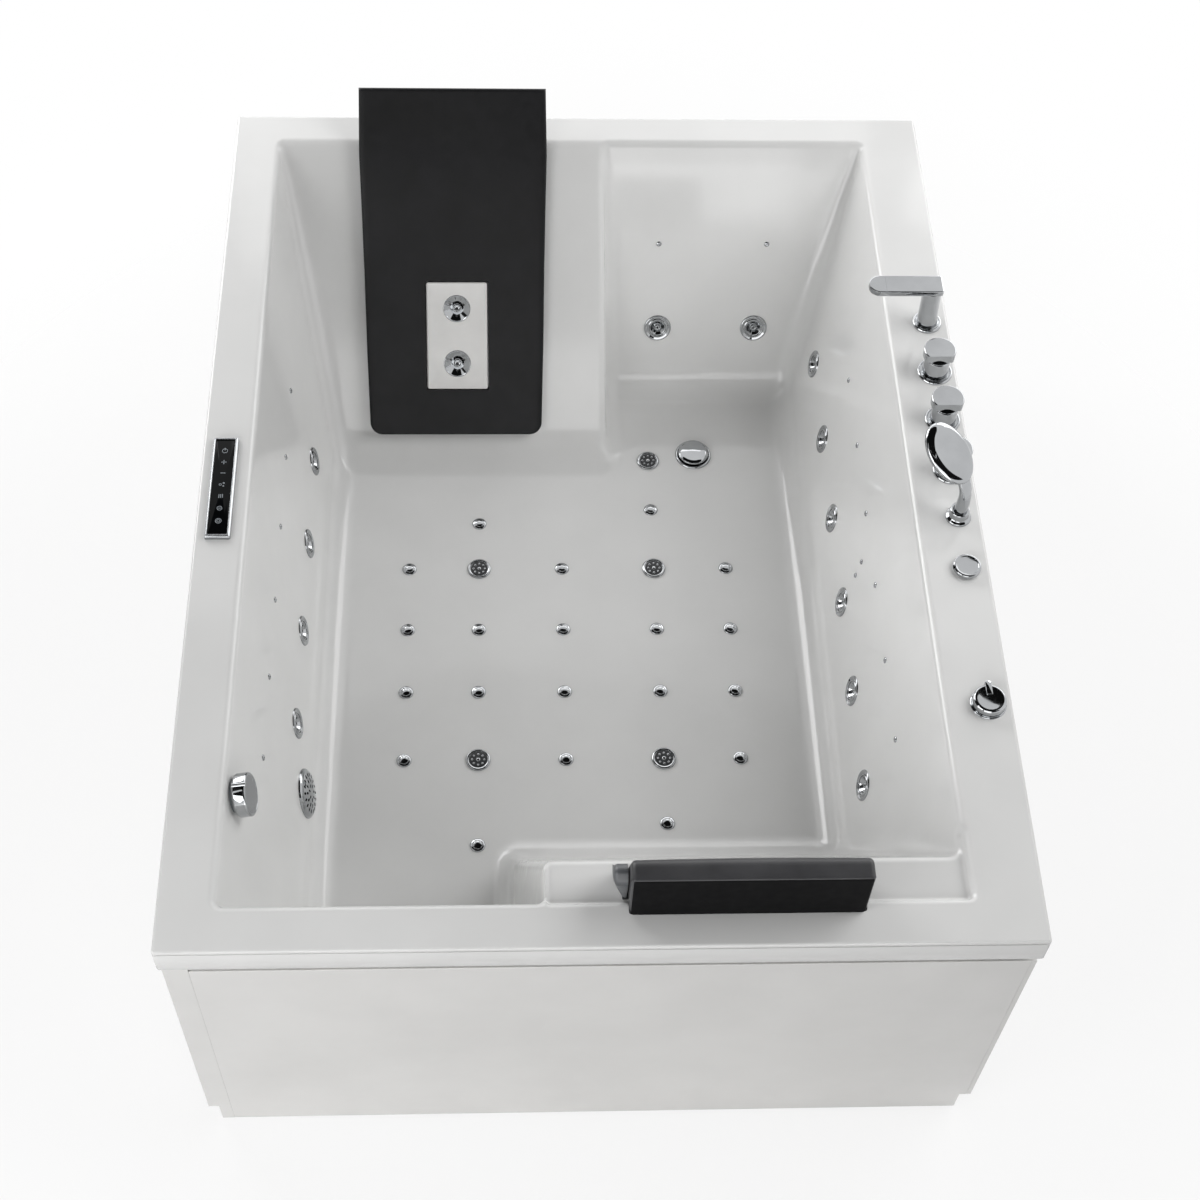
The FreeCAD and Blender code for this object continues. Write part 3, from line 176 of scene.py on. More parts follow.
def slab(name: str, loop: np.ndarray, profile: Sequence[tuple[float, float]]) -> Mesh:
    """Flat-topped solid: the plan loop drawn in by each (inset, z) of a profile, top first."""
    rings = [np.column_stack([inset_loop(loop, inset), np.full(len(loop), z)]) for inset, z in profile]
    return stacked(name, np.array(rings))


def hoop(name: str, loop: np.ndarray, profile: np.ndarray) -> Mesh:
    """Closed section carried round a plan loop: point (inset, z) sits inset inside the loop.

    Args:
        name: the mesh's name.
        loop: (n, 2) points, anticlockwise.
        profile: (m, 2) closed section of (inset, z), clockwise.
    """
    rings = np.array([np.column_stack([inset_loop(loop, inset), np.full(len(loop), z)])
                      for inset, z in np.vstack([profile, profile[:1]])])
    return mesh_of(name, rings.reshape(-1, 3), grid_faces(len(rings), len(loop), wrap=True))


def rectangle(width: float, length: float, round_: float, steps: int = 6) -> np.ndarray:
    """Plan loop of a rectangle with rounded corners, anticlockwise, about the origin."""
    w, h = width / 2, length / 2
    corners = [(w, -h, round_), (w, h, round_), (-w, h, round_), (-w, -h, round_)]
    return outline(corners, steps, closed=True)


def border(grid: np.ndarray) -> np.ndarray:
    """Outer loop of an (n, m, ...) grid, anticlockwise when rows run along X."""
    return np.concatenate([grid[:-1, 0], grid[-1, :-1], grid[:0:-1, -1], grid[0, :0:-1]])


def sandwich(name: str, top: np.ndarray, rings: Sequence[np.ndarray], under: np.ndarray) -> Mesh:
    """Closed skin: a top grid, loops that run down from its border, and a grid below.

    Args:
        name: the mesh's name.
        top: (n, m, 3) points, rows along X and columns along Y.
        rings: loops as border gives them, from the top to the bottom.
        under: (n, m, 3) points of the lower side.

    Returns:
        The mesh; the lower side's faces use material 1.
    """
    rows, columns = top.shape[:2]
    flat = grid_faces(rows, columns)
    index = np.arange(rows * columns).reshape(rows, columns)
    loops = [border(index)]
    start = rows * columns
    points = [top.reshape(-1, 3)]
    for ring in rings:
        loops.append(start + np.arange(len(ring)))
        points.append(ring)
        start += len(ring)
    loops.append(start + border(index))
    points.append(under.reshape(-1, 3))
    sides = [np.stack([a, b, np.roll(b, -1), np.roll(a, -1)], axis=-1) for a, b in zip(loops, loops[1:])]
    faces = np.concatenate([flat, *sides, start + flat[:, ::-1]])
    mesh = bpy.data.meshes.new(name)
    mesh.from_pydata(np.concatenate(points).tolist(), [], faces.tolist())
    lower = np.arange(len(faces)) >= len(faces) - len(flat)
    mesh.polygons.foreach_set("material_index", lower.astype(np.int32))
    return smooth(mesh)


def gathered(name: str, mesh: Mesh, places: Iterable[Matrix]) -> Mesh:
    """One mesh holding a copy of another at each place."""
    whole = bmesh.new()
    for place in places:
        copy = placed(mesh.copy(), place)
        whole.from_mesh(copy)
        bpy.data.meshes.remove(copy)
    result = bpy.data.meshes.new(name)
    whole.to_mesh(result)
    whole.free()
    return result


def joined(name: str, meshes: Sequence[Mesh]) -> Mesh:
    """One mesh of several; each one's faces take the material number of its turn."""
    whole = bmesh.new()
    for number, mesh in enumerate(meshes):
        mesh.polygons.foreach_set("material_index", np.full(len(mesh.polygons), number, np.int32))
        whole.from_mesh(mesh)
    result = bpy.data.meshes.new(name)
    whole.to_mesh(result)
    whole.free()
    return result


def cut(mesh: Mesh, tools: Mesh) -> Mesh:
    """Takes the tools' volume out of a mesh and shades what is left."""
    body, tool = shown("cut_body", mesh), shown("cut_tool", tools)
    step = body.modifiers.new("cut", "BOOLEAN")
    step.operation = "DIFFERENCE"
    step.solver = "MANIFOLD"
    step.object = tool
    result = bpy.data.meshes.new_from_object(body.evaluated_get(bpy.context.evaluated_depsgraph_get()))
    for thing in (body, tool):
        bpy.data.objects.remove(thing)
    return smooth(result)


def rod(radius: float, low: float, high: float, x: float = 0.0, y: float = 0.0,
        segments: int = 24) -> Mesh:
    """Closed upright bar, used as a cutter."""
    bar = turned("rod", np.array([(0, high), (radius, high), (radius, low), (0, low)]), segments)
    return placed(bar, Matrix.Translation((x, y, 0)))


def closed_turn(name: str, corners: Corners, segments: int = 48) -> Mesh:
    """Ring turned from a closed (r, z, round) section in mm, drawn clockwise from its inner top."""
    loop = outline(corners, closed=True) * MM
    return turned(name, np.vstack([loop, loop[:1]]), segments)


def solid_turn(name: str, corners: Corners, segments: int = 48) -> Mesh:
    """Solid turned from (r, z, round) corners in mm, from the axis outwards and down to the axis."""
    return turned(name, outline(corners) * MM, segments)


def placed(mesh: Mesh, place: Matrix) -> Mesh:
    """The mesh itself, moved to a place."""
    mesh.transform(place)
    return mesh


def shown(name: str, data: bpy.types.ID) -> bpy.types.Object:
    """Puts data in the scene as an object at the origin."""
    thing = bpy.data.objects.new(name, data)
    bpy.context.scene.collection.objects.link(thing)
    return thing


def spun(degrees: float) -> Matrix:
    """Turn about Z."""
    return Matrix.Rotation(math.radians(degrees), 4, "Z")


# ---- finishes --------------------------------------------------------------------
def linear(colour: str) -> tuple[float, float, float, float]:
    """Linear RGBA of an sRGB hex colour such as #f0f0f0."""
    parts = [int(colour[i:i + 2], 16) / 255 for i in (1, 3, 5)]
    return (*[p / 12.92 if p <= 0.04045 else ((p + 0.055) / 1.055) ** 2.4 for p in parts], 1.0)


def add(tree: bpy.types.NodeTree, kind: str, settings: dict, links: dict) -> bpy.types.Node:
    """Adds a shader node with its settings and links.

    Args:
        tree: the material's or world's node tree.
        kind: the node's type without its ShaderNode prefix.
        settings: values by property name, input name or input number; "stops" holds a ramp's two
            (place, colour).
        links: the sockets that feed inputs, by input name or number.

    Returns:
        The node.
    """
    node = tree.nodes.new("ShaderNode" + kind)
    for name, value in settings.items():
        if name == "stops":
            for element, (place, colour) in zip(node.color_ramp.elements, value):
                element.position = place
                element.color = colour
        elif isinstance(name, str) and hasattr(node, name):
            setattr(node, name, value)
        else:
            node.inputs[name].default_value = value
    for name, socket in links.items():
        tree.links.new(socket, node.inputs[name])
    return node


def blank_material(name: str) -> tuple[bpy.types.Material, bpy.types.NodeTree]:
    """New material and its empty node tree."""
    material = bpy.data.materials.new(name)
    material.use_nodes = True
    material.node_tree.nodes.clear()
    return material, material.node_tree


class Grain(Enum):
    """How the fine relief of a surface runs."""

    PEEL = "soft waves of a moulded or sprayed skin"
    BRUSH = "long fine lines one way"
    PORES = "small round pits of a foam skin"
    SPANGLE = "flat crystal patches of zinc"
    FIBRE = "chopped strands under resin"


@dataclass(frozen=True)
class Finish:
    """One real material with the way its surface was made.

    The colour wanders between shade and colour in patches, the roughness wanders by spread each
    way in smaller patches, and the grain gives the relief.
    """

    name: str
    slot: str
    colour: str
    shade: str
    roughness: float
    spread: float
    grain: Grain
    grain_mm: float
    depth_mm: float
    patch_mm: float = 160.0
    metallic: float = 0.0
    ior: float = 1.5
    coat: float = 0.0
    transmission: float = 0.0

    def relief(self, tree: bpy.types.NodeTree, spot: bpy.types.NodeSocket) -> bpy.types.NodeSocket:
        """Height of the grain at a point, from 0 to 1.

        Args:
            tree: the material's tree.
            spot: object coordinates.

        Returns:
            The socket with the height.
        """
        scale = 1000.0 / self.grain_mm
        if self.grain is Grain.BRUSH:
            stretch = add(tree, "Mapping", {"Scale": (scale, scale * 0.04, scale)}, {"Vector": spot})
            lines = add(tree, "TexNoise", {"Scale": 1.0, "Detail": 3.0}, {"Vector": stretch.outputs[0]})
            return lines.outputs[0]
        if self.grain is Grain.PORES:
            pits = add(tree, "TexVoronoi", {"Scale": scale, "feature": "SMOOTH_F1"}, {"Vector": spot})
            return pits.outputs["Distance"]
        if self.grain is Grain.SPANGLE:
            flakes = add(tree, "TexVoronoi", {"Scale": scale}, {"Vector": spot})
            return add(tree, "RGBToBW", {}, {"Color": flakes.outputs["Color"]}).outputs[0]
        if self.grain is Grain.FIBRE:
            strands = add(tree, "TexNoise", {"Scale": scale, "Detail": 3.0, "Distortion": 2.5},
                          {"Vector": spot})
            return strands.outputs[0]
        peel = add(tree, "TexNoise", {"Scale": scale, "Detail": 2.0, "Roughness": 0.4}, {"Vector": spot})
        return peel.outputs[0]

    def make(self) -> bpy.types.Material:
        """The finish as a material, made once and then shared."""
        if self.name in bpy.data.materials:
            return bpy.data.materials[self.name]
        material, tree = blank_material(self.name)
        spot = add(tree, "TexCoord", {}, {}).outputs["Object"]
        patches = add(tree, "TexNoise", {"Scale": 1000.0 / self.patch_mm, "Detail": 4.0}, {"Vector": spot})
        stops = ((0.30, linear(self.shade)), (0.70, linear(self.colour)))
        tone = add(tree, "ValToRGB", {"stops": stops}, {"Fac": patches.outputs[0]})
        rubs = add(tree, "TexNoise", {"Scale": 5000.0 / self.patch_mm, "Detail": 5.0}, {"Vector": spot})
        worn = add(tree, "MapRange", {"From Min": 0.25, "From Max": 0.75,
                                      "To Min": max(self.roughness - self.spread, 0.02),
                                      "To Max": self.roughness + self.spread}, {"Value": rubs.outputs[0]})
        bump = add(tree, "Bump", {"Strength": 1.0, "Distance": self.depth_mm * MM},
                   {"Height": self.relief(tree, spot)})
        settings = {"Metallic": self.metallic, "Coat Weight": self.coat, "Coat Roughness": 0.05,
                    "Transmission Weight": self.transmission}
        if self.metallic == 0.0:
            settings["IOR"] = self.ior
        shader = add(tree, "BsdfPrincipled", settings,
                     {"Base Color": tone.outputs[0], "Roughness": worn.outputs[0], "Normal": bump.outputs[0]})
        add(tree, "OutputMaterial", {}, {"Surface": shader.outputs[0]})
        return material


# Sanitary acrylic sheet, vacuum formed over a mould: deep white gloss with hardly any relief. The
# real peel is a few microns deep and would not show, so its waves are drawn 40 mm long.
CAST_ACRYLIC = Finish("cast_acrylic", "acrylic", "#ebebea", "#e6e6e5", 0.13, 0.03, Grain.PEEL,
                      40.0, 0.03, ior=1.49, coat=0.25)
# Chopped glass strands rolled into polyester resin behind the acrylic: matt, uneven, yellowish.
GLASS_BACKING = Finish("glass_fibre_backing", "acrylic", "#dcd6c4", "#c4bda8", 0.55, 0.10, Grain.FIBRE,
                       6.0, 0.60, ior=1.52)
# Extruded ABS sheet with an acrylic skin, cut and folded for the skirt: as white, a little softer.
APRON_SHEET = Finish("acrylic_faced_sheet", "apron", "#eae9e7", "#e4e3e1", 0.20, 0.04, Grain.PEEL,
                     26.0, 0.03, ior=1.49, coat=0.15)
# Bright chromium over polished nickel: a mirror with faint wiping marks.
CHROME = Finish("polished_chrome", "chrome", "#b9bbbd", "#acaeb0", 0.05, 0.025, Grain.BRUSH,
                3.0, 0.002, metallic=1.0, patch_mm=60.0)
# The same plate over a blasted face: a soft grey sheen.
SATIN_CHROME = Finish("satin_chrome", "chrome", "#aeb0b2", "#a2a4a7", 0.24, 0.05, Grain.BRUSH,
                      2.0, 0.006, metallic=1.0, patch_mm=50.0)
# Coated glass painted black behind: near black with one clean, faint reflection.
TOUCH_GLASS = Finish("painted_touch_glass", "black_glass", "#0d0e10", "#08090a", 0.05, 0.02, Grain.PEEL,
                     30.0, 0.003, ior=1.22, patch_mm=40.0)
# Screen-printed ceramic ink on the glass: flat light grey.
PRINTED_INK = Finish("screen_printed_ink", "black_glass", "#a9afb4", "#9299a0", 0.50, 0.05, Grain.PEEL,
                     2.0, 0.01, patch_mm=12.0)
# Integral-skin polyurethane foam, moulded: charcoal, matt, with a fine pore grain. The pores are
# really 0.4 mm wide and are drawn at 1.6 mm so that they show.
FOAM_SKIN = Finish("integral_skin_foam", "soft_black", "#1c1c1e", "#151516", 0.44, 0.06, Grain.PORES,
                   1.6, 0.08, ior=1.36, patch_mm=90.0)
# The same foam on the pillow's top, painted a lighter grey for the light that falls on it (painted light),
# with a soft sheen.
LIT_TOP_FOAM = Finish("foam_painted_lit_top", "soft_black", "#49494b", "#3c3c3e", 0.36, 0.06, Grain.PORES,
                   1.6, 0.08, ior=1.42, patch_mm=90.0)
# The pillow's upright back: the same foam painted near black for its shade (painted shade), and quite matt.
SHADED_BACK_FOAM = Finish("foam_painted_shaded_back", "soft_black", "#101011", "#0c0c0d", 0.70, 0.06, Grain.PORES,
                   1.6, 0.08, ior=1.16, patch_mm=90.0)
# Mid-grey wedge at the left end of the pillow's bracket: the grey is painted light, the lit tone of the
# pillow's top.
LIT_GREY_CHEEK = Finish("cheek_painted_lit_grey", "dark_plastic", "#66686b", "#595b5e", 0.34, 0.06, Grain.PEEL,
                       3.0, 0.02, ior=1.5, patch_mm=60.0)
# Injection-moulded ABS from a polished tool: white with a soft shine.
WHITE_MOULDING = Finish("polished_abs_moulding", "white_plastic", "#f0efed", "#e6e5e3", 0.22, 0.04,
                        Grain.PEEL, 8.0, 0.02, ior=1.53, patch_mm=70.0)
# Glass-filled nylon and ABS housings: dark with a spark-eroded texture.
DARK_MOULDING = Finish("glass_filled_moulding", "dark_plastic", "#2b2d30", "#202224", 0.42, 0.08,
                       Grain.PORES, 1.5, 0.06, ior=1.53, patch_mm=60.0)
# Welded square tube, powder coated: grey with orange peel.
POWDER_COAT = Finish("powder_coated_tube", "steel_frame", "#8d9195", "#7b7f83", 0.38, 0.07, Grain.PEEL,
                     3.0, 0.05, patch_mm=110.0)
# Electroplated zinc on pressed and turned steel: pale, with a faint crystal pattern.
ZINC_PLATE = Finish("zinc_plate", "zinc_steel", "#c3c6c4", "#a9adad", 0.34, 0.08, Grain.SPANGLE,
                    7.0, 0.01, metallic=1.0, patch_mm=40.0)
# Enamelled die-cast motor housing: dark blue-grey, satin.
MOTOR_ENAMEL = Finish("motor_enamel", "motor_paint", "#3f4a55", "#323b45", 0.36, 0.08, Grain.PEEL,
                      2.5, 0.05, patch_mm=60.0)
# Extruded unplasticised PVC pressure pipe: dull white with faint drawing lines.
PRESSURE_PIPE = Finish("extruded_pvc_pipe", "white_pipe", "#e9e8e3", "#dcdad2", 0.34, 0.06, Grain.BRUSH,
                       2.0, 0.02, ior=1.53, patch_mm=120.0)
# Plasticised PVC air hose: milky and half clear.
AIR_HOSE = Finish("plasticised_pvc_hose", "clear_hose", "#d9e0e0", "#c7d0d1", 0.24, 0.06, Grain.PEEL,
                  3.0, 0.02, ior=1.53, transmission=0.25, patch_mm=90.0)
# Polypropylene waste pipe: mid grey, waxy.
WASTE_PLASTIC = Finish("moulded_waste_pipe", "grey_pipe", "#85898c", "#74787b", 0.40, 0.06, Grain.PEEL,
                       2.5, 0.03, ior=1.49, patch_mm=100.0)


def piece(mesh: Mesh, finishes: Sequence[Finish], body: str = TUB,
          nodes: Sequence[str] = ()) -> bpy.types.Object:
    """Puts a mesh in the scene as a piece of the bath.

    Args:
        mesh: the finished mesh, whose name the piece takes.
        finishes: one finish for each material number of the mesh; higher numbers take the last.
        body: the body that it moves with.
        nodes: the solids that it stands for.

    Returns:
        The piece.
    """
    thing = shown(mesh.name, mesh)
    numbers = np.empty(len(mesh.polygons), np.int32)
    mesh.polygons.foreach_get("material_index", numbers)
    mesh.materials.clear()                  # sets every number to 0
    for finish in finishes:
        mesh.materials.append(finish.make())
    mesh.polygons.foreach_set("material_index", np.minimum(numbers, len(finishes) - 1))
    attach(thing, body)
    if nodes:
        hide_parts(*nodes)
    LOG.info("%s: %d faces on %s", thing.name, len(mesh.polygons), body)
    return thing


def dress(node: str, finish: Finish) -> None:
    """Gives a solid that stays in view its finish in place of the plain one."""
    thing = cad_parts[node]
    for place in thing.material_slots:
        place.material = finish.make()
    LOG.info("%s: %s", node, finish.name)


# ---- places ----------------------------------------------------------------------
class Wall(Enum):
    """Basin walls: the way each faces along X and Y, its edge at deck height and its lean."""

    LEFT = (1, 0, -0.589, 12.0)
    RIGHT = (-1, 0, 0.561, 14.0)
    LOUNGE = (0, -1, 0.825, 40.5)
    FOOTWELL = (0, -1, 0.8251, 25.0)
    BACKREST = (0, 1, -0.755, 27.5)
    FOOT_END = (0, 1, -0.825, 14.0)

    def place(self, along: float, height: float) -> Matrix:
        """Place on the wall, with Z into the basin and Y up the wall.

        Args:
            along: the coordinate along the wall, X or Y.
            height: Z of the place.
        """
        dx, dy, edge, degrees = self.value
        angle = math.radians(degrees)
        inward = (DECK - height) * math.tan(angle)
        normal = Vector((dx * math.cos(angle), dy * math.cos(angle), math.sin(angle)))
        rise = Vector((-dx * math.sin(angle), -dy * math.sin(angle), math.cos(angle)))
        spot = (edge + dx * inward, along, height) if dx else (along, edge + dy * inward, height)
        turn = Matrix((rise.cross(normal), rise, normal)).transposed().to_4x4()
        return Matrix.Translation(spot) @ turn


def on_floor(x: float, y: float) -> Matrix:
    """Place on the basin floor."""
    return Matrix.Translation((x, y, FLOOR))


def on_deck(x: float, y: float) -> Matrix:
    """Place on the deck."""
    return Matrix.Translation((x, y, DECK))


# ---- the shell -------------------------------------------------------------------
def meet(radius: float, *fields: np.ndarray) -> np.ndarray:
    """Where all fields are negative, with a rounded inner corner.

    min(max f, -r) + the length of the vector of max(f + r, 0): past -r the fields add as the legs
    of a right triangle, which draws the corner as an arc.
    """
    stack = np.array(np.broadcast_arrays(*fields))
    reach = np.sqrt((np.maximum(stack + radius, 0.0) ** 2).sum(axis=0))
    return np.minimum(stack.max(axis=0), -radius) + reach


def merge(radius: float, *fields: np.ndarray) -> np.ndarray:
    """Where any field is negative, with a rounded outer corner: the mirror image of meet."""
    return -meet(radius, *[-field for field in fields])


def spread(*spans: tuple[float, float, float]) -> np.ndarray:
    """Grid lines through (start, end, step) spans, each once and in order."""
    lines = [np.linspace(a, b, max(2, int(round((b - a) / step)) + 1)) for a, b, step in spans]
    return np.unique(np.round(np.concatenate(lines), 6))


@dataclass
class TubShell:
    """The bath's one moulding: deck, hanging fascia and basin.

    Its top is a height z(x, y): for each point of a grid, the height where the air of the basin
    begins. The underside is the same with every wall moved out by the shell's thickness.
    """

    rim_corner: float = 0.012
    deep_corner: float = 0.034
    foot_round: float = 0.039
    bend_round: float = 0.015
    rim_round: float = 0.009
    edge_round: float = 0.005
    shelf: float = 0.682
    jet_hole: float = 0.0200
    waste_hole: float = 0.0268
    suction_hole: float = 0.0270
    seam: tuple[tuple[float, float], ...] = (          # how far out and how far under the deck
        (0.005, 0.0056), (0.0046, 0.0061), (-0.0004, 0.0062), (-0.0004, 0.0100), (0.0046, 0.0101),
        (0.005, 0.0106))

    def air(self, x: np.ndarray, y: np.ndarray, z: np.ndarray, grow: float) -> np.ndarray:
        """Distance to the basin's air, negative inside it.

        A wall is side (place - edge) cos(lean) + (deck - z) sin(lean) - grow. The three ways across
        the basin are merged, then met by the long walls and the floor, and the shelf is merged in.
        The upright corners are tight at the deck and grow rounder over the first 200 mm down.

        Args:
            x, y, z: places, as arrays that broadcast.
            grow: how far every wall is moved out.
        """
        def wall(side: int, place: np.ndarray, edge: float, degrees: float) -> np.ndarray:
            """Distance past one leaning wall."""
            angle = math.radians(degrees)
            return side * (place - edge) * math.cos(angle) + (DECK - z) * math.sin(angle) - grow

        corner = self.rim_corner + (self.deep_corner - self.rim_corner) * np.clip((DECK - z) / 0.2, 0.0, 1.0)
        lounge = meet(0.001, wall(-1, y, -0.755, 27.5), wall(1, y, 0.825, 40.5))
        footwell = meet(corner, wall(-1, x, 0.050, 1.0), wall(1, y, 0.825, 25.0),
                        wall(-1, y, -0.300, 27.5))
        foot_end = meet(corner, wall(1, x, -0.090, 6.0), wall(-1, y, -0.825, 14.0),
                        wall(1, y, 0.0, 25.0))
        ways = merge(self.bend_round, lounge, footwell, foot_end)
        sides = meet(corner, wall(-1, x, -0.589, 12.0), wall(1, x, 0.561, 14.0), ways)
        basin = meet(self.foot_round, sides, FLOOR - z - grow)
        shelf = meet(0.008, wall(-1, x, -0.090, 6.0), wall(1, x, 0.566, 8.0), wall(-1, y, -0.825, 8.0),
                     wall(1, y, -0.700, 8.0), self.shelf - z - grow)
        return merge(0.006, basin, shelf)

    def heights(self, x: np.ndarray, y: np.ndarray, under: bool) -> np.ndarray:
        """Height of the top or the underside at each point, found by halving the interval.

        Args:
            x, y: grids of places.
            under: True for the underside.
        """
        low = np.full(x.shape, FLOOR - 0.03)
        high = np.full(x.shape, DECK + 0.02)
        for _ in range(30):
            middle = (low + high) / 2
            inside = self.air(x, y, middle, SHELL_THICK if under else 0.0)
            if not under:
                inside = merge(self.rim_round, inside, DECK - middle)
            solid = inside > 0
            low = np.where(solid, middle, low)
            high = np.where(solid, high, middle)
        return np.minimum(low, DECK - SHELL_THICK) if under else low

    def lines(self) -> tuple[np.ndarray, np.ndarray]:
        """Grid lines across and along, close where the shell turns."""
        x = spread((-0.670, -0.669, 0.0005), (-0.669, -0.607, 0.031), (-0.607, -0.575, 0.0021),
                   (-0.575, -0.487, 0.0045), (-0.487, -0.442, 0.0045), (-0.442, -0.192, 0.05),
                   (-0.192, -0.142, 0.005), (-0.142, -0.070, 0.0026), (-0.070, 0.030, 0.025),
                   (0.030, 0.063, 0.0016), (0.063, 0.108, 0.0045), (0.108, 0.396, 0.048),
                   (0.396, 0.441, 0.0045), (0.441, 0.547, 0.0048), (0.547, 0.599, 0.0021),
                   (0.599, 0.669, 0.035), (0.669, 0.670, 0.0005))
        y = spread((-0.895, -0.894, 0.0005), (-0.894, -0.843, 0.025), (-0.843, -0.807, 0.0021),
                   (-0.807, -0.700, 0.0036), (-0.700, -0.655, 0.0045), (-0.655, -0.512, 0.018),
                   (-0.512, -0.455, 0.0052), (-0.455, 0.305, 0.076), (0.305, 0.425, 0.0066),
                   (0.425, 0.555, 0.0165), (0.555, 0.605, 0.0050), (0.605, 0.775, 0.0120),
                   (0.775, 0.807, 0.0045), (0.807, 0.843, 0.0021), (0.843, 0.894, 0.025),
                   (0.894, 0.895, 0.0005))
        return x, y

    def hem(self, x: np.ndarray, y: np.ndarray) -> list[np.ndarray]:
        """Loops from the deck's edge down the fascia, past the seam in it, and back up inside.

        A border point moves out by t (nx, ny). Within 1 mm of a corner the direction turns from the
        side's own to the diagonal, which rounds the upright corner.
        """
        gx, gy = np.meshgrid(x, y, indexing="ij")
        line = border(np.stack([gx, gy], axis=-1))
        gap = np.array([x[-1], y[-1]]) - np.abs(line)
        turn = np.clip(1.0 - gap.max(axis=1) / 0.001, 0.0, 1.0) * math.pi / 4
        flat_x = gap[:, 0] <= gap[:, 1]
        out = np.where(flat_x[:, None], np.column_stack([np.cos(turn), np.sin(turn)]),
                       np.column_stack([np.sin(turn), np.cos(turn)])) * np.sign(line)
        arc = np.linspace(0.0, math.pi / 2, 6)[1:]
        steps = [(self.edge_round * math.sin(a), DECK - self.edge_round * (1 - math.cos(a))) for a in arc]
        low = DECK - FASCIA
        steps += [(t, DECK - drop) for t, drop in self.seam]
        steps += [(0.005, low + 0.0015), (0.0045, low + 0.0004), (0.0035, low),
                  (-0.0015, low), (-0.0027, low + 0.0006), (-0.003, low + 0.002), (-0.003, DECK - 0.010)]
        return [np.column_stack([line + out * t, np.full(len(line), z)]) for t, z in steps]

    def holes(self) -> Mesh:
        """Bars that open the shell for the jets, the waste and the suction."""
        places = WallJets().places().values()
        cutter = rod(self.jet_hole, -0.030, 0.030)
        bars = gathered("bars", cutter, places)
        waste = placed(rod(self.waste_hole, -0.030, 0.030), on_floor(*Drain().spot))
        guard = SuctionGuard()
        suction = placed(rod(self.suction_hole, -0.030, 0.030), Wall.LEFT.place(guard.along, guard.height))
        return joined("holes", [bars, waste, suction])

    def build(self) -> None:
        """Builds the moulding in place of its solid."""
        x, y = self.lines()
        gx, gy = np.meshgrid(x, y, indexing="ij")
        top = np.stack([gx, gy, self.heights(gx, gy, under=False)], axis=-1)
        gx, gy = np.clip(gx, -0.667, 0.667), np.clip(gy, -0.892, 0.892)
        under = np.stack([gx, gy, self.heights(gx, gy, under=True)], axis=-1)
        mesh = sandwich("bath_moulding", top, self.hem(x, y), under)
        LOG.info("moulding grid %d by %d", len(x), len(y))
        shell = cut(mesh, self.holes())
        smooth(shell, 48.0)
        piece(shell, [CAST_ACRYLIC, GLASS_BACKING], nodes=["tub_shell"])


# ---- jets in the walls -----------------------------------------------------------
@dataclass
class WallJets:
    """Twelve turning jets: a fixed rim round each and a dished eye that turns in it."""

    height: float = 0.375
    left: tuple[float, ...] = (0.285, 0.087, -0.111, -0.309)
    right: tuple[float, ...] = (0.535, 0.339, 0.143, -0.053, -0.249, -0.445)
    footwell: tuple[float, ...] = (0.168, 0.368)
    footwell_height: float = 0.346

    def places(self) -> dict[str, Matrix]:
        """Place of every wall jet by the name of the body that its eye turns with."""
        spots = {f"jet_insert_left_{i + 1}": Wall.LEFT.place(y, self.height) for i, y in enumerate(self.left)}
        for i, y in enumerate(self.right):
            spots[f"jet_insert_right_{i + 1}"] = Wall.RIGHT.place(y, self.height)
        for i, x in enumerate(self.footwell):
            spots[f"jet_insert_footwell_{i + 1}"] = Wall.FOOTWELL.place(x, self.footwell_height)
        return spots

    def rim(self) -> Mesh:
        """Flat outer band, a step and a rolled inner lip."""
        return closed_turn("jet_rims", [
            (17.2, 2.6, 0.5), (18.6, 3.5, 0.8), (20.4, 2.6, 0.8), (21.0, 1.9, 0.3),
            (25.6, 3.3, 1.2), (27.6, 2.2, 0.9), (28.0, 0.0, 0.2), (17.2, 0.0, 0.2)])

    def eye(self, name: str) -> Mesh:
        """Dish with a bored hub and three holes."""
        dish = solid_turn(name, [(0, -12, 0), (2.4, -12, 0), (2.4, -1.0, 0.3), (4.3, -1.0, 0.6),
                                 (6.2, -7.0, 0.5), (7.4, -7.0, 0.6), (15.0, 1.5, 0.8), (16.8, 1.7, 0.4),
                                 (16.8, -14, 0.3), (0, -14, 0)])
        bar = rod(0.0023, -0.020, 0.010, 0.0105, 0.0)
        return cut(dish, gathered("bars", bar, [spun(a) for a in (0, 120, 240)]))

    def build(self) -> None:
        """Builds all rims as one fixed piece and each eye on its own body."""
        places = self.places()
        piece(gathered("jet_rims", self.rim(), places.values()), [CHROME], nodes=["jet_flanges"])
        for body, place in places.items():
            mesh = placed(self.eye(body.replace("insert", "eye")), place)
            piece(mesh, [CHROME], body=body, nodes=[body])


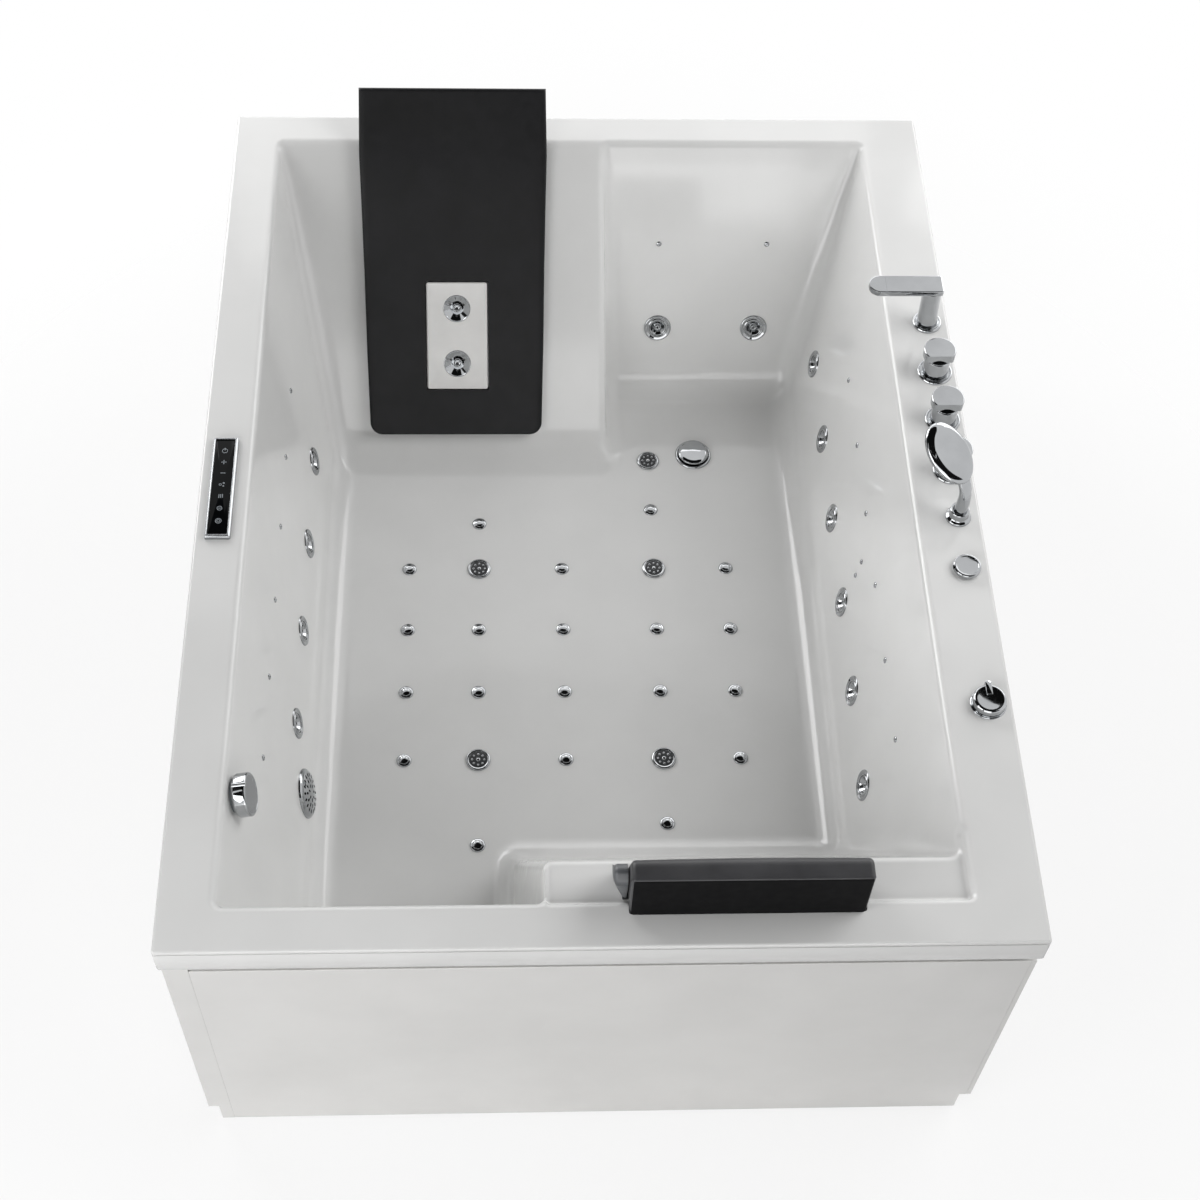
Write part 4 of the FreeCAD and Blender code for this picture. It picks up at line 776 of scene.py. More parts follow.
@dataclass
class SmallNozzles:
    """Air nozzles along the walls and the two water level sensors."""

    left: tuple[float, ...] = tuple(0.329 - 0.160 * i for i in range(6))
    right: tuple[float, ...] = tuple(0.368 - 0.161 * i for i in range(6))
    footwell: tuple[float, ...] = (0.165, 0.385)
    left_height: float = 0.534
    right_height: float = 0.519
    footwell_height: float = 0.512
    sensors: tuple[tuple[float, float], ...] = ((-0.034, 0.477), (-0.042, 0.446))

    def build(self) -> None:
        """Builds the nozzles as one piece and the sensors as another."""
        button = solid_turn("air_buttons", [
            (0, 0.6, 0), (1.1, 0.6, 0.2), (1.3, 2.6, 0.2), (3.0, 2.7, 0.8),
            (5.3, 1.4, 0.8), (5.5, 0, 0.2), (3.2, 0, 0.2), (3.2, -7, 0), (0, -7, 0)], 24)
        rows = ((Wall.LEFT, self.left, self.left_height), (Wall.RIGHT, self.right, self.right_height),
                (Wall.FOOTWELL, self.footwell, self.footwell_height))
        places = [wall.place(along, height) for wall, row, height in rows for along in row]
        piece(gathered("air_buttons", button, places), [CHROME], nodes=["air_nozzles"])
        stud = solid_turn("level_studs", [
            (0, 3.3, 0), (3.4, 2.6, 1.4), (4.5, 1.8, 0.6), (4.6, 0, 0.2), (3.4, 0, 0.2),
            (3.4, -7, 0), (0, -7, 0)], 24)
        piece(gathered("level_studs", stud, [Wall.RIGHT.place(y, z) for y, z in self.sensors]),
              [SATIN_CHROME], nodes=["level_sensors"])


# ---- floor -----------------------------------------------------------------------
@dataclass
class FloorFittings:
    """Bubble jets and perforated massage plates on the basin floor."""

    columns: tuple[float, ...] = (-0.338, -0.201, -0.038, 0.144, 0.287)
    rows: tuple[float, ...] = (0.136, -0.008, -0.150, -0.298)
    more_jets: tuple[tuple[float, float], ...] = ((-0.201, 0.247), (0.144, 0.281),
                                                  (-0.201, -0.475), (0.144, -0.434))
    more_plates: tuple[tuple[float, float], ...] = ((0.144, 0.407),)

    def spots(self) -> tuple[list[tuple[float, float]], list[tuple[float, float]]]:
        """Places of the bubble jets and of the plates."""
        cross = [(c, r, x, y) for c, x in enumerate(self.columns) for r, y in enumerate(self.rows)]
        plates = [(x, y) for c, r, x, y in cross if c in (1, 3) and r in (0, 3)]
        jets = [(x, y) for *_, x, y in cross if (x, y) not in plates]
        return jets + list(self.more_jets), plates + list(self.more_plates)

    def bubble_jet(self) -> Mesh:
        """Low dome with a groove round its cap and six small holes."""
        dome = solid_turn("bubble_jets", [(0, 4.9, 0), (4.6, 4.7, 1.2), (8.2, 3.9, 0.3), (8.7, 3.0, 0.2),
                                          (9.3, 3.6, 0.3), (12.6, 2.7, 1.2), (13.8, 1.3, 0.6), (14.0, 0, 0.2),
                                          (7.4, 0, 0.2), (7.4, -7, 0), (0, -7, 0)])
        bar = rod(0.0009, 0.001, 0.010, 0.0062, 0.0, 10)
        return cut(dome, gathered("bars", bar, [spun(60 * i) for i in range(6)]))

    def plate(self) -> Mesh:
        """Low ring round a dark sunk insert with a hub and a circle of eight domed nubs."""
        ring = solid_turn("massage_plates", [
            (0, 2.2, 0), (17.2, 2.2, 0.2), (17.8, 3.6, 0.4), (20.4, 4.2, 0.9), (22.4, 3.2, 0.7),
            (23.0, 1.2, 0.7), (23.0, 0, 0.1), (14.5, 0, 0.2), (14.5, -7, 0), (0, -7, 0)])
        insert = solid_turn("insert", [(0, 3.0, 0), (16.4, 2.8, 0.3), (16.8, 2.3, 0.1), (0, 2.3, 0)])
        nub = solid_turn("nub", [(0, 4.4, 0), (1.3, 4.3, 0.6), (2.3, 3.4, 0.5), (2.4, 2.9, 0),
                                 (0, 2.9, 0)], 16)
        hub = solid_turn("hub", [(0, 4.8, 0), (2.6, 4.7, 1.2), (4.0, 3.6, 0.8), (4.2, 2.9, 0),
                                 (0, 2.9, 0)], 20)
        circle = [spun(45 * i) @ Matrix.Translation((0.0112, 0, 0)) for i in range(8)]
        return joined("massage_plates", [ring, insert, gathered("nubs", nub, circle), hub])

    def build(self) -> None:
        """Builds the jets and the plates, one piece of each kind."""
        jets, plates = self.spots()
        piece(gathered("bubble_jets", self.bubble_jet(), [on_floor(*s) for s in jets]), [CHROME],
              nodes=["floor_bubble_jets"])
        piece(gathered("massage_plates", self.plate(), [on_floor(*s) for s in plates]),
              [CHROME, DARK_MOULDING, CHROME, CHROME], nodes=["floor_massage_plates"])


@dataclass
class Drain:
    """Waste ring in the footwell floor and the plug raised over it."""

    spot: tuple[float, float] = (0.238, 0.423)

    def build(self) -> None:
        """Builds the ring with its throat, and the plug with its stem."""
        ring = closed_turn("waste_ring", [
            (23.5, 0.6, 0.3), (31.8, 0.8, 0.3), (33.0, 3.5, 0.6), (35.2, 3.4, 0.8), (36.8, 1.6, 0.8),
            (37.0, 0, 0.1), (26.4, 0, 0.2), (26.4, -60, 0.2), (23.5, -60, 0.2)], 64)
        piece(placed(ring, on_floor(*self.spot)), [CHROME], nodes=["drain_flange"])
        plug = solid_turn("waste_plug", [(0, 14.2, 0), (8.0, 13.9, 2.0), (26.0, 12.4, 4.0), (30.6, 10.4, 1.2),
                                         (31.0, 7.0, 0.5), (20.0, 7.0, 0.5), (5.0, 7.4, 0.5), (5.0, -50, 0.3),
                                         (0, -50, 0)], 64)
        piece(placed(plug, on_floor(*self.spot)), [CHROME], body="drain_plug", nodes=["drain_plug"])


# ---- left wall -------------------------------------------------------------------
@dataclass
class SuctionGuard:
    """Domed guard with rings of slots over the suction opening."""

    along: float = -0.413
    height: float = 0.306

    def build(self) -> None:
        """Builds the dome, opens its slots and sets it on the wall."""
        dome = closed_turn("suction_guard", [
            (0, 11.8, 0), (20, 11.2, 6), (40, 7.4, 3), (44.6, 3.0, 1.5), (45, 0, 0.2), (27, 0, 0.2),
            (27, -10, 0.2), (23, -10, 0.2), (23, 1, 0.5), (36, 2, 1), (34, 4.4, 1)], 64)
        bars = []
        for radius, count in ((0.0330, 18), (0.0235, 12), (0.0130, 7)):
            slot = rod(0.0024, 0.0, 0.020, radius, 0.0, 12)
            slot.transform(Matrix.Translation((radius, 0, 0)) @ Matrix.Diagonal((1.7, 1, 1, 1))
                           @ Matrix.Translation((-radius, 0, 0)))
            bars += [placed(slot.copy(), spun(360 * i / count)) for i in range(count)]
        guard = cut(dome, joined("bars", bars))
        piece(placed(guard, Wall.LEFT.place(self.along, self.height)), [CHROME], nodes=["suction_grille"])


@dataclass
class OverflowKnob:
    """Turning drum on the foot end of the left wall."""

    along: float = -0.608
    height: float = 0.650

    def build(self) -> None:
        """Builds the drum with its finger notch and satin face."""
        drum = solid_turn("overflow_drum", [
            (0, 28.0, 0), (30.5, 28.0, 0.2), (30.9, 28.5, 0.3), (33.6, 28.5, 1.4), (35.4, 26.4, 1.4),
            (35.5, 8.0, 2.0), (30.0, 3.8, 1.2), (7.1, 3.8, 0.2), (7.1, 20.5, 0.2), (0, 20.5, 0)], 64)
        notch = slab("notch", rectangle(8 * MM, 9 * MM, 3 * MM), [(0, 0.030), (0, 0.003)])
        knob = cut(drum, placed(notch, Matrix.Translation((0, 0.0365, 0))))
        place = Wall.LEFT.place(self.along, self.height)
        piece(placed(knob, place), [CHROME], body="overflow_knob", nodes=["overflow_knob"])
        face = solid_turn("overflow_face", [
            (0, 28.3, 0), (29.6, 28.3, 0.2), (30.0, 28.1, 0.1), (30.0, 27.5, 0), (0, 27.5, 0)], 64)
        piece(placed(face, place), [SATIN_CHROME], body="overflow_knob")


@dataclass
class TouchPanel:
    """Slim glass panel in a bevelled frame on the left deck."""

    spot: tuple[float, float] = (-0.635, -0.033)
    width: float = 44.0
    length: float = 217.0

    def marks(self) -> Mesh:
        """One column of plain signs: rings, bars, a cross and dots."""
        def bar(x: float, y: float, wide: float, tall: float) -> Mesh:
            """Thin printed bar."""
            flat = slab("bar", rectangle(wide * MM, tall * MM, 0.4 * MM, 3), [(0, 0.15 * MM), (0, 0.0)])
            return placed(flat, Matrix.Translation((x * MM, y * MM, 0)))

        def ring(x: float, y: float, radius: float) -> Mesh:
            """Thin printed ring."""
            band = closed_turn("ring", [(radius - 0.9, 0.15, 0), (radius, 0.15, 0), (radius, 0, 0),
                                        (radius - 0.9, 0, 0)], 24)
            return placed(band, Matrix.Translation((x * MM, y * MM, 0)))

        signs = [ring(0, 78, 5.0), bar(0, 81.5, 1.2, 6), bar(0, 53, 9, 1.2), bar(0, 53, 1.2, 9),
                 bar(0, 29, 9, 1.2), ring(-2.6, 4, 2.4), ring(3.2, 7, 1.8), ring(2.8, 1, 1.5),
                 bar(-3, -21, 1.2, 8), bar(0, -21, 1.2, 8), bar(3, -21, 1.2, 8),
                 ring(0, -47, 4.6), bar(0, -47, 5, 1.2), ring(0, -74, 3.0), ring(0, -74, 5.4)]
        above = Matrix.Translation((*self.spot, DECK + 7.05 * MM))
        return gathered("touch_marks", joined("signs", signs), [above])

    def build(self) -> None:
        """Builds the frame, the glass with its housing and the printed marks."""
        loop = rectangle(self.width * MM, self.length * MM, 3.0 * MM)
        frame_section = outline([(5.4, 7.2, 0.3), (5.0, 9.0, 0.4), (3.2, 9.0, 0.5), (0.2, 6.0, 0.6),
                                 (0, 0, 0.1), (5.4, 0, 0.1)], 3, closed=True) * MM
        surround = placed(hoop("touch_frame", loop, frame_section), on_deck(*self.spot))
        piece(surround, [SATIN_CHROME], nodes=["control_panel_bezel"])
        glass_loop = rectangle((self.width - 10.6) * MM, (self.length - 12.6) * MM, 1.5 * MM)
        glass = slab("touch_glass", glass_loop, [(0.6 * MM, 7.0 * MM), (0.1 * MM, 6.8 * MM), (0, 6.4 * MM),
                                                 (0, 0.2 * MM), (2.0 * MM, 0.1 * MM), (2.4 * MM, -26 * MM)])
        piece(placed(glass, on_deck(*self.spot)), [TOUCH_GLASS], nodes=["control_panel_glass"])
        piece(self.marks(), [PRINTED_INK])


# ---- deck fittings ---------------------------------------------------------------
def frames(path: np.ndarray, side: Vector) -> tuple[np.ndarray, np.ndarray]:
    """Two axes across a path at each of its points: near the given side, and square to it.

    Args:
        path: (n, 3) points.
        side: the way the first axis should point, made square to the path.
    """
    along = np.gradient(path, axis=0)
    along /= np.linalg.norm(along, axis=1, keepdims=True)
    across = np.array(side)[None, :] - (along @ np.array(side))[:, None] * along
    across /= np.linalg.norm(across, axis=1, keepdims=True)
    return across, np.cross(along, across)


def swept(name: str, path: np.ndarray, side: Vector, wide: np.ndarray, deep: np.ndarray,
          corner: float = 2.0, segments: int = 32) -> Mesh:
    """Bar along a path with a super-ellipse section that changes size.

    Ring k is path_k + wide_k c(a) across_k + deep_k s(a) up_k, where c and s are the cosine and
    the sine raised to 2 / corner with their signs kept: 2 is an ellipse, 4 a rounded rectangle.

    Args:
        name: the mesh's name.
        path: (n, 3) points, far end first.
        side: the way the section's width points.
        wide, deep: half sizes of the section at each point.
        corner: how square the section is.
        segments: points round the section.
    """
    across, up = frames(path, side)
    angle = np.linspace(0.0, 2 * math.pi, segments, endpoint=False)
    c, s = np.cos(angle), np.sin(angle)
    c, s = np.sign(c) * np.abs(c) ** (2 / corner), np.sign(s) * np.abs(s) ** (2 / corner)
    rings = (path[:, None, :] + (wide[:, None] * c)[..., None] * across[:, None, :]
             - (deep[:, None] * s)[..., None] * up[:, None, :])
    return stacked(name, rings)


def curve(points: Sequence[Sequence[float]], count: int = 40) -> np.ndarray:
    """Bezier curve of any degree: the sum of binomial(n, i) t^i (1 - t)^(n - i) P_i."""
    places = np.array(points, float)
    n = len(places) - 1
    t = np.linspace(0.0, 1.0, count)[:, None]
    return sum(math.comb(n, i) * t ** i * (1 - t) ** (n - i) * places[i] for i in range(n + 1))


@dataclass
class Spout:
    """Curved post with a flat blade that reaches over the basin."""

    x: float = 0.635
    y: float = 0.352
    top: float = 0.820
    length: float = 0.134
    width: float = 0.040
    thick: float = 0.012
    seam: float = 0.030

    def blade(self) -> Mesh:
        """Flat blade with a round tip; a hair seam parts the mouthpiece from the arm."""
        right = self.x + 0.008
        left = right - self.length
        y, half = self.y - 0.015, self.width / 2
        sweep = np.linspace(math.pi / 2, 1.5 * math.pi, 33)
        nose = np.column_stack([left + half + half * np.cos(sweep), y + half * np.sin(sweep)])
        turn = np.linspace(0.0, math.pi / 2, 7)
        r = 4 * MM
        heel = np.column_stack([right - r + r * np.sin(turn), y - half + r - r * np.cos(turn)])
        loop = np.vstack([nose, heel, np.column_stack([heel[::-1, 0], 2 * y - heel[::-1, 1]])])
        edge = [(2.2, 0.0), (1.4, 0.0), (0.4, -0.4), (0.0, -1.5), (0.0, -10.4), (0.5, -11.6), (1.6, -12.0)]
        section = [(inset, self.top + drop) for inset, drop in in_mm(edge)]
        seam = slab("seam", rectangle(0.9 * MM, 0.060, 0.0),
                    [(0, self.top + 0.002), (0, self.top - 0.6 * MM)])
        seam = placed(seam, Matrix.Translation((left + self.seam, y, 0)))
        return cut(slab("spout_blade", loop, section), seam)

    def build(self) -> None:
        """Builds the base ring, the post and the blade."""
        ring = closed_turn("spout_base", [
            (19.0, 4.6, 0.6), (21.5, 4.2, 0.6), (23.0, 5.6, 0.8), (25.6, 5.4, 1.2), (27.0, 3.2, 1.2),
            (27.0, 0, 0.2), (13.0, 0, 0.2), (13.0, -20, 0.3), (10.0, -20, 0.3), (10.0, 4.6, 0.3)], 64)
        piece(placed(ring, on_deck(self.x, self.y)), [CHROME], nodes=["spout"])
        low, high = DECK + 0.002, self.top - self.thick + 0.002
        share = np.linspace(1.0, 0.0, 24)
        path = np.column_stack([self.x - 0.009 * share, self.y - 0.015 * share ** 1.5,
                                low + share * (high - low)])
        girth = 0.0172 + 0.0026 * (1 - share) ** 3 + 0.0018 * share ** 4
        piece(swept("spout_post", path, Vector((1, 0, 0)), girth, girth, 2.0, 48), [CHROME])
        piece(self.blade(), [CHROME])


@dataclass
class DeckControls:
    """Three valve knobs, the air dial and the jet selector on the right deck."""

    x: float = 0.635
    knobs: tuple[tuple[str, float], ...] = (("hot_knob", 0.232), ("cold_knob", 0.119),
                                            ("diverter_knob", 0.005))
    dial_y: float = -0.209
    selector_y: float = -0.478
    dock_y: float = -0.098
    knob_flat: float = -0.016

    def bases(self) -> Mesh:
        """Rings on the deck under every fitting but the spout, and the hand shower's dock."""
        valve = closed_turn("valve", [
            (8.0, 4.0, 0.2), (21.0, 2.8, 0.5), (27.0, 2.8, 0.6), (28.5, 4.1, 0.7), (30.6, 3.8, 0.8),
            (32.0, 1.8, 0.9), (32.0, 0, 0.1), (8.0, 0, 0.1)], 64)
        dock = closed_turn("dock", [
            (12.2, 22.0, 0.4), (15.6, 22.0, 0.8), (17.0, 20.4, 0.8), (17.0, 8.0, 2.0),
            (21.8, 3.6, 1.0), (22.5, 0, 0.2), (12.2, 0, 0.2)], 64)
        low = closed_turn("low", [(6.0, 2.0, 0.1), (20.4, 2.0, 0.4), (21.0, 0, 0.1), (6.0, 0, 0.1)], 64)
        flat = closed_turn("flat", [
            (6.0, 3.0, 0.1), (28.4, 3.0, 0.6), (30.0, 1.6, 0.6), (30.0, 0, 0.1), (6.0, 0, 0.1)], 64)
        rings = [placed(valve.copy(), on_deck(self.x, y)) for _, y in self.knobs]
        rings += [placed(dock, on_deck(self.x, self.dock_y)), placed(low, on_deck(self.x, self.dial_y)),
                  placed(flat, on_deck(self.x, self.selector_y))]
        return joined("deck_rings", rings)

    def knob(self, name: str) -> Mesh:
        """Round body, a shadow groove and a wider flat-topped cap, cut straight across in front."""
        body = solid_turn(name, [
            (0, 62.0, 0), (14.0, 62.0, 6.0), (27.6, 61.8, 0.6), (29.0, 60.6, 0.7), (29.0, 45.0, 1.2),
            (27.6, 43.6, 0.8), (21.2, 43.2, 0.6), (21.0, 40.8, 0.4), (22.8, 40.0, 0.8),
            (23.6, 7.4, 1.5), (22.0, 5.5, 0.8), (22.0, 4.5, 0.3), (8.1, 4.5, 0.2), (8.1, 36.0, 0.2),
            (0, 36.0, 0)], 64)
        deep = 0.030
        flat = slab("flat", rectangle(0.070, deep, 0.0),
                    [(1.6 * MM, 0.064), (1.6 * MM, 0.0615), (0, 0.0600), (0, 0.0423)])
        return cut(body, placed(flat, Matrix.Translation((0, self.knob_flat - deep / 2, 0))))

    def dial(self) -> Mesh:
        """Flat disc with a rolled rim, a sunk face and a thumb notch."""
        disc = solid_turn("air_disc", [
            (0, 10.6, 0), (18.6, 10.6, 0.4), (19.4, 11.5, 0.5), (22.4, 11.5, 1.0), (24.0, 9.8, 1.0),
            (24.0, 4.2, 1.0), (22.0, 2.5, 0.6), (6.1, 2.5, 0.2), (6.1, 8.4, 0.2), (0, 8.4, 0)], 64)
        return cut(disc, rod(0.0042, 0.0045, 0.020, -0.0245, -0.002))

    def selector(self) -> Mesh:
        """Low round knob with a pointer tab that rises from its face to the rim."""
        body = solid_turn("selector", [
            (0, 17.6, 0), (15.0, 17.9, 4.0), (24.6, 18.4, 1.6), (27.3, 15.4, 1.6), (27.5, 6.4, 1.2),
            (26.0, 3.5, 0.6), (6.1, 3.5, 0.2), (6.1, 12.4, 0.2), (0, 12.4, 0)], 64)
        loop = outline([(-5.0, 6.0, 1.5), (5.0, 6.0, 1.5), (5.6, 31.0, 2.5), (0, 33.0, 1.5),
                        (-5.6, 31.0, 2.5)], closed=True)
        tab = slab("tab", loop * MM, in_mm([(1.2, 21.0), (0.4, 20.6), (0, 19.8), (0, 9.0), (1.0, 8.0)]))
        return joined("selector_knob", [body, tab])

    def build(self) -> None:
        """Builds the fixed rings, then each control on its own body."""
        piece(self.bases(), [CHROME], nodes=["deck_fitting_bases"])
        for body, y in self.knobs:
            mesh = placed(self.knob(body.replace("knob", "handle")), on_deck(self.x, y))
            piece(mesh, [CHROME], body=body, nodes=[body])
        for body, mesh, y in (("air_dial", self.dial(), self.dial_y),
                              ("jet_selector_knob", self.selector(), self.selector_y)):
            piece(placed(mesh, on_deck(self.x, y)), [CHROME], body=body, nodes=[body])


@dataclass
class HandShower:
    """Slim handle in its dock with an oval paddle head that leans over the bath."""

    x: float = 0.635
    y: float = -0.098
    wide: float = 0.0385
    tall: float = 0.0570
    side: ClassVar[Vector] = Vector((0.81, 0.58, 0.0))     # across the handle and the head

    def head(self) -> tuple[Mesh, Mesh]:
        """Oval shell with a rolled rim, and the flat satin face let into it."""
        lean = Vector((-0.50, 0.70, 0.51)).normalized()
        side = self.side.normalized()
        face = lean.cross(side).normalized()
        spot = Vector((self.x - 0.005, self.y + 0.006, DECK + 0.096)) + lean * 0.052
        place = Matrix.Translation(spot) @ Matrix((side, face.cross(side), face)).transposed().to_4x4()
        angle = np.linspace(0.0, 2 * math.pi, 72, endpoint=False)
        loop = np.column_stack([self.wide * np.cos(angle), self.tall * np.sin(angle)])
        shell = slab("paddle", loop, in_mm([(5.0, 7.4), (3.8, 7.6), (1.2, 6.2), (0.0, 3.4), (0.0, -1.0),
                                            (1.6, -3.6), (7.0, -6.6), (16, -7.9)]))
        pad = slab("paddle_face", loop, in_mm([(6.6, 8.0), (5.6, 7.8), (5.2, 7.2)]))
        return placed(shell, place), placed(pad, place)

    def handle(self) -> Mesh:
        """Round spigot in the dock that flattens into a curved blade under the head."""
        x, y, z = self.x, self.y, DECK
        path = curve([(x - 0.0215, y + 0.030, z + 0.1155), (x - 0.004, y + 0.008, z + 0.097),
                      (x + 0.006, y - 0.006, z + 0.075), (x + 0.001, y, z + 0.045), (x, y, z + 0.003)])
        share = np.linspace(0.0, 1.0, len(path))
        spigot = 0.0115
        deep = np.interp(share, [0.0, 0.35, 0.75, 0.85, 1.0], [0.0050, 0.0062, 0.0110, spigot, spigot])
        flare = np.interp(share, [0.0, 0.8, 1.0], [1.0, 0.0, 0.0]) * 0.0045 * (1 - share) ** 2
        return swept("shower_handle", path, self.side, spigot + flare, deep, 2.2, 40)

    def build(self) -> None:
        """Builds the handle, the head and its face on the hand shower's body."""
        shell, pad = self.head()
        piece(self.handle(), [CHROME], body="hand_shower", nodes=["hand_shower"])
        piece(shell, [CHROME], body="hand_shower")
        piece(pad, [SATIN_CHROME], body="hand_shower")


# ---- soft parts ------------------------------------------------------------------
@dataclass
class BackrestPad:
    """Moulded foam backrest on the lounge, with a white plate and two big jets let into it."""

    x: float = -0.248
    reach: float = 0.578
    head: float = 0.105
    thick: float = 0.022
    plate: tuple[float, float] = (0.121, 0.214)
    plate_middle: tuple[float, float] = (0.004, -0.3774)
    jets: tuple[float, float] = (0.455, 0.371)
    jet_x: float = -0.244

    def half_width(self, v: np.ndarray) -> np.ndarray:
        """Half width of the pad at a distance up the lounge from its edge."""
        return np.interp(v, [-self.reach, -0.40, -0.25, -0.12, -0.02, self.head],
                         [0.1730, 0.1770, 0.1790, 0.1815, 0.1840, 0.1820])

    def pad(self) -> Mesh:
        """Crowned slab on a grid: u across, v along.

        The outline narrows by half_width(v), and its lower corners follow a circle. The top is
        thick (1 - edge roll) plus a shallow hollow for the back and a low swell high up the lounge.
        """
        edge = np.array([0.0, 0.0012, 0.003, 0.0055, 0.009])
        u = np.unique(np.concatenate([edge - 1, 1 - edge, spread((-0.97, 0.97, 0.05))]))
        v = np.unique(np.concatenate([-self.reach + edge * 0.5, self.head - edge * 0.4,
                                      spread((-self.reach + 0.004, -self.reach + 0.030, 0.003),
                                             (-self.reach + 0.03, self.head - 0.008, 0.012))]))
        gu, gv = np.meshgrid(u, v, indexing="ij")
        corner = 0.024
        fall = np.maximum(-self.reach + corner - gv, 0.0)
        pull = corner - np.sqrt(np.maximum(corner ** 2 - fall ** 2, 0.0))
        half = self.half_width(gv) - pull
        x = gu * half
        from_side = (1 - np.abs(gu)) * half
        from_end = np.minimum(gv + self.reach, self.head - gv)
        roll = 0.0045
        drop = np.hypot(np.maximum(roll - from_side, 0), np.maximum(roll - from_end, 0))
        crown = -roll + np.sqrt(np.maximum(roll ** 2 - np.minimum(drop, roll) ** 2, 0))
        hollow = -0.0030 * np.cos(np.clip(gu, -1, 1) * math.pi / 2) ** 2 * np.clip(from_end / 0.10, 0, 1)
        top = self.thick + 0.0004 + crown + hollow + 0.0022 * np.exp(-((gv + 0.05) / 0.10) ** 2)
        low = np.full_like(top, 0.0004)
        upper = np.stack([x, gv, top], axis=-1)
        lower = np.stack([x, gv, low], axis=-1)
        line, base = border(upper), border(lower)
        rings = [line * (1 - s) + base * s for s in (0.35, 0.8)]
        return sandwich("backrest_foam", upper, rings, lower)

    def build(self) -> None:
        """Builds the pad, its plate and the two turning jets."""
        place = Wall.LOUNGE.place(self.x, DECK)
        foam = self.pad()
        window = slab("window", rectangle(self.plate[0] + 0.0044, self.plate[1] + 0.0044, 0.005),
                      [(0, 0.060), (0, -0.020)])
        middle = Matrix.Translation((*self.plate_middle, 0))
        foam = cut(foam, placed(window, middle))
        pad = piece(placed(foam, place), [FOAM_SKIN], nodes=["backrest_pad"])
        plate = slab("pad_plate", rectangle(*self.plate, 0.0045), in_mm([
            (3.4, 25.2), (2.6, 25.3), (0.9, 24.0), (0.1, 21.6), (0, 20.0), (0, 0.6)]))
        plate = placed(plate, place @ middle)
        jets = [Wall.LOUNGE.place(self.jet_x, z) for z in self.jets]
        seats = gathered("seats", rod(0.0272, 0.0087, 0.060, segments=64), jets)
        piece(cut(plate, seats), [WHITE_MOULDING], nodes=["pad_jet_plate"])
        for i, jet in enumerate(jets):
            body = f"jet_insert_pad_{i + 1}"
            piece(placed(self.jet(f"jet_eye_pad_{i + 1}"), jet), [CHROME], body=body, nodes=[body])

    def jet(self, name: str) -> Mesh:
        """Wide polished dish with a hub ring and three holes."""
        dish = solid_turn(name, [(0, 8, 0), (2.8, 8, 0), (2.8, 20.6, 0.4), (5.0, 21.0, 0.8), (7.2, 14.0, 0.8),
                                 (8.6, 13.6, 0.8), (24.6, 25.0, 1.2), (25.6, 26.0, 0.5), (27.0, 25.6, 0.6),
                                 (27.0, 9.0, 0.4), (16.8, 9.0, 0.4), (16.8, -12, 0.3), (0, -12, 0)], 64)
        bar = rod(0.0026, -0.002, 0.040, 0.0150, 0.0)
        return cut(dish, gathered("bars", bar, [spun(28.648 + a) for a in (0, 120, 240)]))


